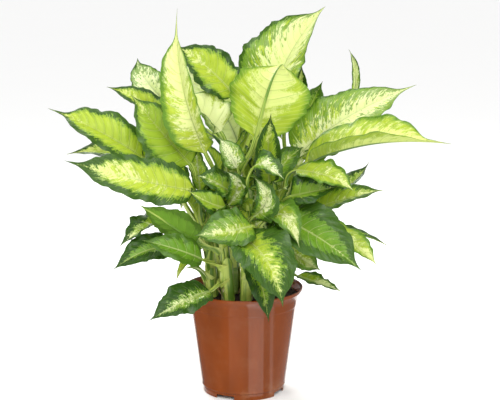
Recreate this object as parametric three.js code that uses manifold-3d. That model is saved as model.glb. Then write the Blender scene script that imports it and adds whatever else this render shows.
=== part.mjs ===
import * as THREE from "three";
import { mergeVertices } from "three/addons/utils/BufferGeometryUtils.js";
import Module from "manifold-3d";

// A potted dieffenbachia: a plastic grower's pot full of soil, eight stems and fifty leaves.
// Lengths are millimetres. +Z is up, -Y is the front, and the origin is the middle of the
// pot's underside, on the surface that the pot stands on.

// Clear space between two pieces that sit against each other.
const GAP = 0.3;

// Pot
const POT_HEIGHT = 153;
const LIP_RADIUS = 85;
const WALL = 1.5;
const WALL_FOOT_RADIUS = 59.6;
const WALL_TOP_RADIUS = 77.6;
const WALL_TOP = 138;
const LEDGE_HEIGHT = 127;
const LEDGE_STEP = 0.6;
const SKIRT_RADIUS = 58;
const SKIRT_HEIGHT = 9.4;
const FLOOR_UNDER = 8;
const FLOOR_OVER = 9.6;
const HUB_RADIUS = 18;
const NOTCH_COUNT = 4;
const NOTCH_WIDTH = 28;
const NOTCH_HEIGHT = 6;
const NOTCH_TURN = 243;
const DRAIN_COUNT = 8;
const DRAIN_RADIUS = 5;
const DRAIN_CIRCLE = 38;
const POT_SIDES = 48;

// Soil
const SOIL_EDGE = 142.5;
const SOIL_MIDDLE = 146;

// Stems
const STEM_DEPTH = 32;
const STEM_SIDES = 8;

// Leaves. The width of a blade along its length, as a share of its greatest width.
const BLADE_SHAPE = [
  [0, 0.09],
  [0.05, 0.4],
  [0.12, 0.68],
  [0.24, 0.92],
  [0.37, 1],
  [0.51, 0.96],
  [0.65, 0.79],
  [0.79, 0.48],
  [0.89, 0.2],
  [0.95, 0.07],
];
const STALK_STEPS = [0, 0.25, 0.5, 0.75];
const RIB_OVER = 0.5;
const RIB_UNDER = 1.7;

const PLASTIC = { color: 0x8a4a29, roughness: 0.3, metalness: 0 };
const SOIL = { color: 0x2b1d15, roughness: 0.95, metalness: 0 };
const STEM = { color: 0x86a04a, roughness: 0.5, metalness: 0 };
const LEAF = { color: 0x9dbb45, roughness: 0.45, metalness: 0 };

const group = new THREE.Group();
group.name = "potted_dieffenbachia";

const wasm = await Module();
wasm.setup();

function vec(p) {
  return new THREE.Vector3(p[0], p[1], p[2]);
}

function addMesh(name, geometry, look) {
  const mesh = new THREE.Mesh(geometry, new THREE.MeshStandardMaterial(look));
  mesh.name = name;
  group.add(mesh);
}

// Solid body from a geometry whose faces close.
function toSolid(geometry) {
  const bare = geometry.clone();
  bare.deleteAttribute("normal");
  bare.deleteAttribute("uv");
  const merged = mergeVertices(bare, 1e-4);
  const mesh = new wasm.Mesh({
    numProp: 3,
    vertProperties: new Float32Array(merged.attributes.position.array),
    triVerts: new Uint32Array(merged.index.array),
  });
  mesh.merge();
  return new wasm.Manifold(mesh);
}

function toGeometry(solid) {
  const mesh = solid.getMesh();
  const geometry = new THREE.BufferGeometry();
  geometry.setAttribute("position", new THREE.BufferAttribute(mesh.vertProperties, 3));
  geometry.setIndex(new THREE.BufferAttribute(mesh.triVerts, 1));
  return geometry;
}

// Closed body of rings of points, each ring with the same number of points, with its two
// ends closed by a fan from an end point.
function loft(rings, first, last) {
  const count = rings[0].length;
  const points = rings.flat();
  const faces = [];
  for (let i = 0; i + 1 < rings.length; i += 1) {
    for (let k = 0; k < count; k += 1) {
      const a = i * count + k;
      const b = i * count + ((k + 1) % count);
      faces.push(a, b, b + count);
      faces.push(a, b + count, a + count);
    }
  }
  const start = points.push(first) - 1;
  const end = points.push(last) - 1;
  const top = (rings.length - 1) * count;
  for (let k = 0; k < count; k += 1) {
    const next = (k + 1) % count;
    faces.push(start, next, k);
    faces.push(end, top + k, top + next);
  }
  const geometry = new THREE.BufferGeometry();
  geometry.setFromPoints(points);
  geometry.setIndex(faces);
  return geometry;
}

// Body turned about the Z axis from a closed profile of [radius, height].
function turned(profile, sides) {
  const points = profile.map(([radius, height]) => new THREE.Vector2(radius, height));
  const geometry = new THREE.LatheGeometry(points, sides);
  geometry.rotateX(Math.PI / 2);
  return geometry;
}

function wallRadius(height) {
  const share = (height - SKIRT_HEIGHT) / (WALL_TOP - SKIRT_HEIGHT);
  return WALL_FOOT_RADIUS + (WALL_TOP_RADIUS - WALL_FOOT_RADIUS) * share;
}

function potBody() {
  const outside = [
    [0, 0],
    [HUB_RADIUS, 0],
    [HUB_RADIUS + 1.5, FLOOR_UNDER],
    [SKIRT_RADIUS - WALL, FLOOR_UNDER],
    [SKIRT_RADIUS - WALL, 0],
    [SKIRT_RADIUS, 0],
    [SKIRT_RADIUS, SKIRT_HEIGHT],
    [WALL_FOOT_RADIUS, SKIRT_HEIGHT + 0.6],
    [wallRadius(LEDGE_HEIGHT) - LEDGE_STEP, LEDGE_HEIGHT - 0.6],
    [wallRadius(LEDGE_HEIGHT), LEDGE_HEIGHT + 0.4],
    [WALL_TOP_RADIUS, WALL_TOP],
    [WALL_TOP_RADIUS + 1.4, WALL_TOP + 3.4],
    [LIP_RADIUS - 3.8, WALL_TOP + 7],
    [LIP_RADIUS - 1, POT_HEIGHT - 4.6],
    [LIP_RADIUS, POT_HEIGHT - 1.6],
    [LIP_RADIUS - 0.3, POT_HEIGHT - 0.4],
    [LIP_RADIUS - 0.9, POT_HEIGHT],
  ];
  const inside = [
    [LIP_RADIUS - 1.5, POT_HEIGHT - 0.6],
    [LIP_RADIUS - 2.4, POT_HEIGHT - 4],
    [LIP_RADIUS - 5, WALL_TOP + 8],
    [WALL_TOP_RADIUS - 0.1, WALL_TOP + 4.4],
    [WALL_TOP_RADIUS - WALL, WALL_TOP],
    [wallRadius(LEDGE_HEIGHT) - WALL, LEDGE_HEIGHT + 1],
    [wallRadius(LEDGE_HEIGHT) - LEDGE_STEP - WALL, LEDGE_HEIGHT],
    [WALL_FOOT_RADIUS - WALL, FLOOR_OVER],
    [HUB_RADIUS, FLOOR_OVER],
    [HUB_RADIUS - WALL, WALL],
    [0, WALL],
  ];
  let body = toSolid(turned(outside.concat(inside), POT_SIDES));
  for (let k = 0; k < NOTCH_COUNT; k += 1) {
    const notch = new THREE.BoxGeometry(NOTCH_WIDTH, 12, 2 * NOTCH_HEIGHT);
    notch.translate(0, SKIRT_RADIUS - 3, 0);
    notch.rotateZ(((NOTCH_TURN + (k * 360) / NOTCH_COUNT - 90) * Math.PI) / 180);
    body = body.subtract(toSolid(notch));
  }
  for (let k = 0; k < DRAIN_COUNT; k += 1) {
    const turn = ((k + 0.5) / DRAIN_COUNT) * 2 * Math.PI;
    const drain = new THREE.CylinderGeometry(DRAIN_RADIUS, DRAIN_RADIUS, 8, 16);
    drain.rotateX(Math.PI / 2);
    drain.translate(DRAIN_CIRCLE * Math.cos(turn), DRAIN_CIRCLE * Math.sin(turn), FLOOR_UNDER);
    body = body.subtract(toSolid(drain));
  }
  return body;
}

// Stems: where each stands in the soil, where it ends, and its radius at foot and top.
const stems = {
  stem_a: { foot: [-43, -22], top: [-64, -14, 292], radius: [6.2, 4.4] },
  stem_b: { foot: [-21, -46], top: [-32, -58, 262], radius: [7.6, 4.6] },
  stem_c: { foot: [-12, -14], top: [-20, -8, 318], radius: [6, 4.4] },
  stem_d: { foot: [4, -50], top: [8, -60, 268], radius: [6.6, 4.4] },
  stem_e: { foot: [27, -28], top: [46, -34, 272], radius: [6, 4.2] },
  stem_f: { foot: [43, 12], top: [64, 22, 300], radius: [6.2, 4.4] },
  stem_g: { foot: [8, 34], top: [12, 48, 332], radius: [6.4, 4.6] },
  stem_h: { foot: [-34, 32], top: [-58, 48, 300], radius: [6, 4.4] },
};

// Middle of a stem at a height, and the way it grows there.
function stemAt(stem, height) {
  const foot = vec([stem.foot[0], stem.foot[1], SOIL_MIDDLE]);
  const top = vec(stem.top);
  const share = (height - foot.z) / (top.z - foot.z);
  const bend = share > 0 ? share * share * 0.5 + share * 0.5 : share * 0.5;
  const middle = new THREE.Vector3(
    foot.x + (top.x - foot.x) * bend,
    foot.y + (top.y - foot.y) * bend,
    height,
  );
  const slope = share > 0 ? share + 0.5 : 0.5;
  const growth = new THREE.Vector3(
    (top.x - foot.x) * slope,
    (top.y - foot.y) * slope,
    top.z - foot.z,
  );
  const radius = stem.radius[0] + (stem.radius[1] - stem.radius[0]) * Math.max(share, 0);
  return { middle, growth: growth.normalize(), radius };
}

// How far the flats and edges of a stem of a radius reach from its middle in a direction.
function stemReach(radius, out) {
  const part = Math.PI / STEM_SIDES;
  const turn = Math.atan2(out.y, out.x) + 2 * Math.PI;
  return (radius * Math.cos(part)) / Math.cos((turn % (2 * part)) - part);
}

function stemGeometry(stem, extra) {
  const low = SOIL_MIDDLE - STEM_DEPTH - extra;
  const high = stem.top[2] - 12;
  const steps = [0, 0.2, 0.4, 0.6, 0.8, 1];
  const rings = steps.map((step) => {
    const at = stemAt(stem, low + (high - low) * step);
    const ring = [];
    for (let k = 0; k < STEM_SIDES; k += 1) {
      const turn = (k / STEM_SIDES) * 2 * Math.PI;
      const out = new THREE.Vector3(Math.cos(turn), Math.sin(turn), 0);
      ring.push(at.middle.clone().addScaledVector(out, at.radius + extra));
    }
    return ring;
  });
  const below = stemAt(stem, low).middle;
  const above = stemAt(stem, stem.top[2]).middle;
  return loft(rings, below, above);
}

function soilBody() {
  const profile = [
    [0, WALL + GAP],
    [HUB_RADIUS - WALL - GAP, WALL + GAP],
    [HUB_RADIUS - GAP, FLOOR_OVER + GAP],
    [WALL_FOOT_RADIUS - WALL - GAP, FLOOR_OVER + GAP],
    [wallRadius(LEDGE_HEIGHT) - LEDGE_STEP - WALL - GAP, LEDGE_HEIGHT],
    [WALL_TOP_RADIUS - WALL - GAP - 0.2, WALL_TOP],
    [WALL_TOP_RADIUS - WALL - GAP, SOIL_EDGE],
    [60, SOIL_EDGE + 1.5],
    [38, SOIL_MIDDLE - 1],
    [18, SOIL_MIDDLE],
    [0, SOIL_MIDDLE],
  ];
  let body = toSolid(turned(profile, POT_SIDES));
  for (const stem of Object.values(stems)) {
    body = body.subtract(toSolid(stemGeometry(stem, GAP)));
  }
  return body;
}

// Leaf of one piece. Its stalk starts against a stem at the height `from`, and its blade runs
// from `base` through `middle` to `tip`. `face` is where the upper side looks, and `fold` is
// how far the right and the left half are lifted towards it, in degrees.
function leafGeometry(stem, from, base, middle, tip, width, face, fold) {
  const root = stemAt(stem, from);
  const a = vec(base);
  const b = vec(middle);
  const c = vec(tip);
  const control = b.clone().multiplyScalar(2).addScaledVector(a, -0.5).addScaledVector(c, -0.5);
  const out = a.clone().sub(root.middle);
  out.z = 0;
  out.normalize();
  const stalkRadius = 1.8 + width * 0.018;
  const over = stalkRadius * 0.7;
  const seat = stemReach(root.radius, out) + GAP + over;
  const start = root.middle.clone().addScaledVector(out, seat);
  const reach = a.distanceTo(start);
  const heading = control.clone().sub(a).normalize();
  const stalk = new THREE.CubicBezierCurve3(
    start,
    start.clone().addScaledVector(root.growth, reach * 0.32).addScaledVector(out, reach * 0.08),
    a.clone().addScaledVector(heading, -reach * 0.35),
    a,
  );
  const blade = new THREE.QuadraticBezierCurve3(a, control, c);
  const rows = STALK_STEPS.map((t) => ({
    at: stalk.getPoint(t),
    half: stalkRadius * (1.25 - 0.35 * t),
    over: over - stalkRadius * 0.3 * t,
    under: stalkRadius * (1.2 - 0.35 * t),
    share: 0,
  }));
  for (const [t, share] of BLADE_SHAPE) {
    rows.push({
      at: blade.getPoint(t),
      half: (share * width) / 2,
      over: RIB_OVER * (1 - t) + 0.2,
      under: RIB_UNDER * (1 - t) + 0.5,
      share: Math.min(1, t * 8),
    });
  }
  const end = rows.length;
  const points = rows.map((row) => row.at).concat([c]);
  const along = rows.map((row, i) => {
    const back = points[Math.max(i - 1, 0)];
    return points[i + 1].clone().sub(back).normalize();
  });
  const centre = STALK_STEPS.length + 5;
  const faces = [];
  const settle = (normal, i) => {
    faces[i] = normal.clone().addScaledVector(along[i], -normal.dot(along[i])).normalize();
  };
  settle(vec(face).normalize(), centre);
  for (let i = centre + 1; i < end; i += 1) {
    settle(faces[i - 1], i);
  }
  for (let i = centre - 1; i >= 0; i -= 1) {
    settle(faces[i + 1], i);
  }
  // The upper side of the stalk turns round to look at the stem at its foot.
  const inward = out.clone().negate().addScaledVector(along[0], out.dot(along[0])).normalize();
  const roll = Math.atan2(faces[0].clone().cross(inward).dot(along[0]), faces[0].dot(inward));
  STALK_STEPS.forEach((t, i) => {
    faces[i].applyAxisAngle(along[i], roll * (1 - t));
  });
  const rings = rows.map((row, i) => {
    const up = faces[i];
    const right = along[i].clone().cross(up);
    const lift = fold.map((degrees) => (degrees * row.share * Math.PI) / 180);
    const edge = (side, angle) => row.at.clone()
      .addScaledVector(right, side * row.half * Math.cos(angle))
      .addScaledVector(up, row.half * Math.sin(angle));
    return [
      edge(1, lift[0]),
      row.at.clone().addScaledVector(up, -row.under),
      edge(-1, lift[1]),
      row.at.clone().addScaledVector(up, row.over),
    ];
  });
  return loft(rings, points[0].clone().addScaledVector(along[0], -0.5), c);
}

function addLeaf(name, from, base, middle, tip, width, face, fold) {
  const stem = stems[`stem_${name[5]}`];
  addMesh(name, leafGeometry(stem, from, base, middle, tip, width, face, fold), LEAF);
}

addMesh("pot", toGeometry(potBody()), PLASTIC);
addMesh("soil", toGeometry(soilBody()), SOIL);
for (const [name, stem] of Object.entries(stems)) {
  addMesh(name, stemGeometry(stem, 0), STEM);
}

// Leaves of stem a, on the left.
addLeaf("leaf_a1", 228, [-143, 10, 338], [-206, 8, 377], [-276, 20, 406], 66, [0, -6, 8], [15, 15]);
addLeaf("leaf_a2", 272, [-75, -12, 332], [-114, -12, 377], [-156, -8, 429], 78, [-3, -7, 5], [10, 25]);
addLeaf("leaf_a3", 212, [-109, -20, 256], [-141, -36, 243], [-173, -46, 221], 44, [-2, -4, 9], [25, 25]);
addLeaf("leaf_a4", 166, [-99, -38, 216], [-136, -56, 217], [-181, -68, 192], 50, [0, -6, 8], [10, 10]);
addLeaf("leaf_a5", 248, [-68, -47, 300], [-153, -64, 321], [-243, -72, 347], 77, [0, -8, 6], [10, 10]);
addLeaf("leaf_a6", 184, [-62, -66, 208], [-80, -70, 203], [-93, -72, 176], 14, [-2, -8, 4], [40, 40]);
// Leaves of stem b, at the front on the left.
addLeaf("leaf_b1", 168, [-46, -68, 163], [-85, -100, 156], [-128, -122, 135], 50, [0, -7, 7], [12, 12]);
addLeaf("leaf_b2", 212, [-66, -62, 231], [-98, -80, 259], [-141, -92, 290], 52, [0, 8, 5], [10, 10]);
addLeaf("leaf_b3", 190, [-56, -80, 211], [-92, -94, 229], [-137, -98, 242], 46, [0, -7, 8], [10, 10]);
addLeaf("leaf_b4", 240, [-24, -72, 282], [-46, -84, 291], [-76, -90, 310], 38, [0, -7, 7], [12, 12]);
// Leaves of stem c, in the middle.
addLeaf("leaf_c1", 282, [-53, -25, 350], [-84, -30, 448], [-90, -20, 549], 66, [-2, -9, 1], [50, 12]);
addLeaf("leaf_c2", 304, [-12, 14, 424], [-51, 14, 465], [-94, 8, 495], 66, [-1, -7, 6], [10, 12]);
addLeaf("leaf_c3", 302, [-32, -6, 377], [-58, -4, 405], [-86, -4, 431], 54, [0, -8, 5], [8, 70]);
addLeaf("leaf_c4", 262, [-11, -50, 292], [-38, -60, 315], [-64, -66, 325], 42, [0, -7, 7], [15, 15]);
addLeaf("leaf_c5", 298, [18, -45, 374], [38, -34, 448], [56, 12, 468], 116, [0, 5, -7], [8, 8]);
addLeaf("leaf_c6", 270, [-8, -66, 336], [-19, -72, 358], [-33, -70, 378], 34, [0, -8, 5], [20, 20]);
addLeaf("leaf_c7", 236, [-20, -62, 283], [-8, -72, 316], [-26, -76, 333], 34, [0, -9, 2], [40, 40]);
// Leaves of stem d, at the front.
addLeaf("leaf_d1", 190, [-4, -88, 245], [33, -143, 222], [53, -158, 165], 94, [2, -8, 6], [15, 15]);
addLeaf("leaf_d2", 176, [14, -72, 206], [25, -95, 179], [35, -106, 129], 42, [2, -9, 3], [20, 20]);
addLeaf("leaf_d3", 232, [30, -72, 264], [57, -98, 275], [76, -119, 234], 42, [0, -7, 7], [15, 15]);
addLeaf("leaf_d4", 238, [14, -86, 272], [32, -100, 302], [12, -95, 330], 46, [0, -9, 2], [45, 45]);
addLeaf("leaf_d5", 254, [36, -58, 314], [34, -62, 360], [38, -58, 410], 50, [0, -9, 1], [45, 45]);
addLeaf("leaf_d6", 253, [16, -90, 343], [34, -99, 344], [57, -103, 324], 36, [0, -6, 8], [20, 20]);
addLeaf("leaf_d7", 220, [12, -96, 261], [-24, -116, 258], [-66, -124, 254], 62, [0, -7, 7], [12, 12]);
// Leaves of stem e, at the front on the right.
addLeaf("leaf_e1", 222, [37, -53, 269], [101, -91, 245], [160, -115, 203], 82, [0, -7, 7], [12, 12]);
addLeaf("leaf_e2", 236, [65, -53, 294], [92, -60, 301], [132, -63, 310], 52, [0, -7, 7], [20, 20]);
addLeaf("leaf_e3", 258, [73, -38, 328], [120, -66, 323], [151, -72, 304], 42, [0, -6, 8], [15, 15]);
addLeaf("leaf_e4", 250, [44, -16, 306], [60, -2, 334], [86, 14, 352], 40, [0, -7, 7], [20, 20]);
addLeaf("leaf_e5", 182, [58, -48, 222], [84, -62, 205], [107, -70, 193], 38, [0, -7, 7], [15, 15]);
addLeaf("leaf_e6", 196, [109, -46, 256], [154, -66, 229], [183, -85, 203], 36, [0, -5, 9], [15, 15]);
addLeaf("leaf_e7", 214, [79, -35, 266], [140, -50, 290], [193, -60, 304], 46, [0, -5, 9], [15, 15]);
// Leaves of stem f, at the back on the right.
addLeaf("leaf_f1", 276, [86, -10, 332], [179, -44, 366], [280, -88, 372], 84, [0, -7, 8], [64, 10]);
addLeaf("leaf_f2", 286, [76, 16, 337], [142, 27, 389], [245, 32, 438], 82, [0, -8, 6], [10, 10]);
addLeaf("leaf_f3", 178, [76, -28, 175], [105, -40, 168], [139, -50, 157], 28, [0, -3, 9], [15, 15]);
addLeaf("leaf_f4", 254, [157, 75, 405], [162, 80, 450], [151, 80, 484], 20, [0, -9, 1], [55, 55]);
addLeaf("leaf_f5", 268, [79, 64, 352], [96, 68, 400], [114, 68, 439], 44, [0, -9, 1], [20, 20]);
addLeaf("leaf_f6", 236, [97, 70, 268], [152, 92, 281], [186, 110, 314], 38, [0, -3, 9], [25, 25]);
addLeaf("leaf_f7", 205, [100, 50, 220], [165, 85, 211], [217, 108, 186], 32, [0, -2, 9], [15, 15]);
addLeaf("leaf_f8", 284, [64, 36, 394], [78, 30, 432], [82, 26, 467], 36, [0, -9, 1], [45, 45]);
// Leaves of stem g, at the back.
addLeaf("leaf_g1", 312, [34, 50, 384], [62, 60, 470], [116, 52, 547], 122, [-2, -9, 2], [54, 5]);
addLeaf("leaf_g2", 315, [-6, 42, 349], [-42, 52, 416], [-98, 62, 466], 70, [0, -7, 6], [10, 10]);
addLeaf("leaf_g3", 290, [10, 90, 340], [30, 155, 362], [60, 215, 330], 90, [0, 4, 9], [15, 15]);
addLeaf("leaf_g4", 270, [-12, 90, 325], [-45, 150, 345], [-85, 205, 315], 84, [0, 4, 9], [15, 15]);
addLeaf("leaf_g5", 240, [5, 95, 255], [5, 160, 268], [0, 220, 230], 82, [0, 4, 9], [15, 15]);
addLeaf("leaf_g6", 215, [50, 85, 235], [75, 145, 245], [98, 200, 210], 74, [0, 4, 9], [15, 15]);
// Leaves of stem h, at the back on the left.
addLeaf("leaf_h1", 284, [-98, 60, 397], [-139, 65, 439], [-152, 70, 472], 50, [0, -9, 2], [20, 20]);
addLeaf("leaf_h2", 258, [-96, 40, 382], [-144, 45, 413], [-196, 50, 433], 36, [0, -7, 6], [20, 20]);
addLeaf("leaf_h3", 226, [-110, 40, 322], [-180, 44, 341], [-255, 45, 336], 44, [0, -6, 8], [15, 15]);
addLeaf("leaf_h4", 250, [-95, 80, 285], [-135, 127, 312], [-182, 162, 292], 74, [0, 3, 9], [15, 15]);
addLeaf("leaf_h5", 220, [-62, 92, 250], [-80, 155, 258], [-100, 212, 220], 74, [0, 4, 9], [15, 15]);

export default group;
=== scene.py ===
"""Potted dieffenbachia: eight green canes with fifty variegated leaves in a glossy plastic pot.

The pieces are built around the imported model, in metres, with +Z up and -Y to the front.
Each leaf and cane takes its place and size from its own node of that model.
"""

import itertools
import math
import random
from collections import namedtuple

import bmesh
import bpy
import numpy as np
from mathutils import Matrix, Vector, noise


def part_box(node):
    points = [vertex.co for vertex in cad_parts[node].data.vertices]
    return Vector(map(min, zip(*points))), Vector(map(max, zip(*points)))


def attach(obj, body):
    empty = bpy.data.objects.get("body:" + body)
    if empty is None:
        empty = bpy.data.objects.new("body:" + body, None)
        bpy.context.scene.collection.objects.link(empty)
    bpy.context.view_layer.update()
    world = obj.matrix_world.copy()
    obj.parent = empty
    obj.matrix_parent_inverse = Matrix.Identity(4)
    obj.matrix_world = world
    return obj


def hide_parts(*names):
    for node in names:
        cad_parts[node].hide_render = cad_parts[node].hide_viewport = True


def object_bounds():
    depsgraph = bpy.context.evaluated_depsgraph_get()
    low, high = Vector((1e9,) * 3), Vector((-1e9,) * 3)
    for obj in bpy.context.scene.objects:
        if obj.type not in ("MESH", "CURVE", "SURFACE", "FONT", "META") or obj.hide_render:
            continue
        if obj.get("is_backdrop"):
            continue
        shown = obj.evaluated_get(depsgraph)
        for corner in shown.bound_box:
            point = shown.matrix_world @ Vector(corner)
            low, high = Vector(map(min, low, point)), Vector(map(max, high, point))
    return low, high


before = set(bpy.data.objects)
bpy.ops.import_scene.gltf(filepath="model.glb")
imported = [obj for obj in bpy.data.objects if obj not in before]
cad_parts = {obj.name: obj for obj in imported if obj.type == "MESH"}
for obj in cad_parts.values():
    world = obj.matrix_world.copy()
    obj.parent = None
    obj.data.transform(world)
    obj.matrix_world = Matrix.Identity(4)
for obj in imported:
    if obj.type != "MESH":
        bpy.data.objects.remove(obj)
CAD_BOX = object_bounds()

bl_info = {
    "name": "Potted dieffenbachia",
    "version": (1, 0, 0),
    "blender": (4, 5, 0),
    "location": "3D View > Sidebar > Dieffenbachia",
    "description": "Builds a potted dieffenbachia around its packed model",
    "category": "Add Mesh",
}

MM = 0.001
LEAVES = sorted(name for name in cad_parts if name.startswith("leaf_"))
STEMS = sorted(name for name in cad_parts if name.startswith("stem_"))


def screen(red, green, blue):
    """Linear colour of a screen colour with channels from 0 to 255."""
    return tuple(((c / 255 + 0.055) / 1.055) ** 2.4 for c in (red, green, blue))


# Colours that aren't settings
WHITISH_CREAM = screen(247, 249, 216)
LIGHT_THROUGH = screen(244, 255, 160)
CANE_BLOTCH = screen(70, 104, 38)
DRY_FIBRE = screen(132, 112, 66)
DRY_SPOT = screen(222, 214, 170)
DUST = screen(178, 138, 104)
PEAT_GRAIN = screen(94, 70, 50)
PEAT_FIBRE = screen(150, 124, 92)


# ---------------------------------------------------------------------------
# How each leaf is marked

# right, left: how much of each half is dark green, from its margin inwards
# tip: how far the dark green closes over the tip
# cream: how much of the rest is cream instead of lime
# fleck: how speckled the rest is with green
# deep: how far the lime goes to mid green, partly the leaf's own greener tone and partly painted
# shade on leaves that lie in shade
# wave: how strongly the margins ripple
# edge: how dark the green of the margin is, from mid green to dark green
# white: how whitish the cream is
# tail: how far the tip is drawn out into a thread
# soft: how wide the mid green is between the margin and the middle
# heavy: how much wider the blade is near its foot, and slimmer near its tip
# broad: the blade's width as a share of its node's
Marking = namedtuple(
    "Marking", "right left tip cream fleck deep wave edge white tail soft heavy broad",
    defaults=(1.0, 0.0, 0.0, 0.2, 0.0, 1.0),
)

MARKINGS = {
    "leaf_a1": Marking(0.34, 0.40, 0.55, 0.10, 0.4, 0.12, 1.1, 0.9, 0.0, 1.0),
    "leaf_a2": Marking(0.28, 0.32, 0.30, 0.12, 0.5, 0.48, 0.9, 0.8),
    "leaf_a3": Marking(0.75, 0.45, 0.40, 0.30, 0.9, 0.50, 2.2, 1.0, 0.5),
    "leaf_a4": Marking(0.88, 0.90, 0.30, 0.00, 0.8, 0.90, 0.8),
    "leaf_a5": Marking(0.37, 0.43, 0.80, 0.34, 0.5, 0.04, 1.2, 0.9, 0.1, 0.3, 0.4, 0.0, 0.88),
    "leaf_a6": Marking(0.15, 0.15, 0.20, 0.30, 0.3, 0.10, 1.0),
    "leaf_b1": Marking(0.92, 0.56, 0.30, 0.44, 2.4, 0.40, 1.8, 1.0, 0.6, 0.0, 0.5),
    "leaf_b2": Marking(0.42, 0.50, 0.20, 0.00, 0.6, 1.00, 0.8, 0.55, 0.2, 0.0, 0.6),
    "leaf_b3": Marking(0.52, 0.62, 0.30, 0.00, 0.7, 1.00, 0.9, 0.65, 0.2, 0.0, 0.6),
    "leaf_b4": Marking(0.34, 0.40, 0.20, 0.10, 0.6, 0.55, 1.0),
    "leaf_c1": Marking(0.06, 0.20, 0.15, 0.56, 0.3, 0.00, 0.8, 0.25, 0.25, 1.2, 0.2, 0.7),
    "leaf_c2": Marking(0.34, 0.32, 0.50, 0.20, 0.6, 0.00, 1.1, 1.0, 0.1, 0.0, 0.4),
    "leaf_c3": Marking(0.05, 0.16, 0.10, 0.85, 0.9, 0.00, 1.4, 0.3, 0.5, 0.0, 0.2, 0.3, 1.3),
    "leaf_c4": Marking(0.58, 0.50, 0.30, 0.20, 2.2, 0.50, 2.2, 0.9, 0.7, 0.0, 0.5),
    "leaf_c5": Marking(0.07, 0.06, 0.05, 0.54, 0.1, 0.00, 1.0, 0.1, 0.0),
    "leaf_c6": Marking(0.20, 0.26, 0.20, 0.66, 3.6, 0.15, 1.6, 0.7, 0.8, 0.0, 0.0),
    "leaf_c7": Marking(0.48, 0.40, 0.30, 0.38, 2.4, 0.40, 2.4, 0.9, 0.9, 0.0, 0.4),
    "leaf_d1": Marking(0.62, 0.68, 0.25, 0.22, 0.9, 0.08, 1.2, 0.9, 0.1, 0.0, 0.6, 0.0, 0.87),
    "leaf_d2": Marking(0.78, 0.78, 0.30, 0.00, 0.4, 0.60, 0.9),
    "leaf_d3": Marking(0.32, 0.42, 0.10, 0.36, 1.2, 0.40, 1.7, 0.5, 0.4, 0.0, 0.5),
    "leaf_d4": Marking(0.52, 0.36, 0.20, 0.44, 2.4, 0.42, 2.2, 0.9, 0.8, 0.0, 0.5),
    "leaf_d5": Marking(0.50, 0.50, 0.40, 0.10, 0.7, 0.30, 0.6),
    "leaf_d6": Marking(0.28, 0.66, 0.20, 0.44, 2.4, 0.42, 2.2, 0.9, 0.9, 0.0, 0.5),
    "leaf_d7": Marking(0.52, 0.38, 0.30, 0.34, 1.2, 0.35, 1.1, 0.75, 0.4, 0.0, 1.5),
    "leaf_e1": Marking(0.60, 0.62, 0.25, 0.06, 1.6, 0.85, 0.9, 0.85, 0.2, 0.0, 1.5),
    "leaf_e2": Marking(0.68, 0.68, 0.30, 0.00, 0.7, 0.75, 1.0),
    "leaf_e3": Marking(0.18, 0.28, 0.20, 0.28, 0.7, 0.16, 1.3, 0.4, 0.2),
    "leaf_e4": Marking(0.56, 0.56, 0.30, 0.16, 2.0, 0.60, 1.5, 0.75, 0.3, 0.0, 0.9),
    "leaf_e5": Marking(0.30, 0.34, 0.30, 0.42, 2.2, 0.15, 1.4, 0.6, 0.4, 0.0, 0.9),
    "leaf_e6": Marking(0.16, 0.22, 0.10, 0.34, 0.6, 0.14, 1.5, 0.3, 0.1),
    "leaf_e7": Marking(0.46, 0.42, 0.30, 0.24, 1.2, 0.25, 0.9, 0.8, 0.3),
    "leaf_f1": Marking(0.05, 0.10, 0.15, 0.48, 0.3, 0.04, 1.0, 0.4, 0.0, 1.0),
    "leaf_f2": Marking(0.05, 0.10, 0.08, 0.60, 3.9, 0.00, 1.0, 0.7, 0.5, 0.4, 0.0),
    "leaf_f3": Marking(0.46, 0.46, 0.30, 0.38, 1.8, 0.20, 1.6, 0.8, 0.6),
    "leaf_f4": Marking(0.30, 0.24, 0.20, 0.62, 2.0, 0.10, 1.8, 0.8, 0.9),
    "leaf_f5": Marking(0.66, 0.66, 0.40, 0.05, 0.6, 0.70, 0.8, 0.7),
    "leaf_f6": Marking(0.60, 0.60, 0.30, 0.10, 0.7, 0.50, 1.0),
    "leaf_f7": Marking(0.66, 0.66, 0.30, 0.00, 0.6, 0.50, 1.2),
    "leaf_f8": Marking(0.55, 0.50, 0.20, 0.30, 0.9, 0.30, 1.6),
    "leaf_g1": Marking(0.06, 0.14, 0.05, 0.62, 2.9, 0.00, 1.3, 0.85, 0.5, 0.0, 0.0),
    "leaf_g2": Marking(0.02, 0.05, 0.05, 1.20, 0.3, 0.00, 1.2, 0.3, 1.0),
    "leaf_g3": Marking(0.32, 0.32, 0.30, 0.30, 0.8, 0.05, 0.9),
    "leaf_g4": Marking(0.36, 0.30, 0.40, 0.20, 0.7, 0.10, 0.9),
    "leaf_g5": Marking(0.45, 0.45, 0.30, 0.20, 0.8, 0.25, 0.9),
    "leaf_g6": Marking(0.40, 0.36, 0.30, 0.15, 0.8, 0.20, 0.9),
    "leaf_h1": Marking(0.06, 0.08, 0.60, 0.85, 3.4, 0.00, 1.4, 0.9, 1.0, 0.0, 0.0),
    "leaf_h2": Marking(0.40, 0.46, 0.30, 0.18, 1.0, 0.06, 1.0),
    "leaf_h3": Marking(0.45, 0.40, 0.30, 0.30, 1.0, 0.10, 1.3),
    "leaf_h4": Marking(0.32, 0.36, 0.30, 0.30, 0.8, 0.10, 0.9),
    "leaf_h5": Marking(0.42, 0.42, 0.30, 0.20, 0.8, 0.25, 0.9),
}


# ---------------------------------------------------------------------------
# Young leaves that fill the middle of the plant

# height: where the sheath leaves the cane; turn: direction seen from above; lean: from upright
# stalk, blade, width: lengths in millimetres; fold: how far the halves are folded up
# pale: how far the leaf is cream all over
Young = namedtuple("Young", "cane height turn lean stalk blade width fold pale", defaults=(0,))

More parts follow.
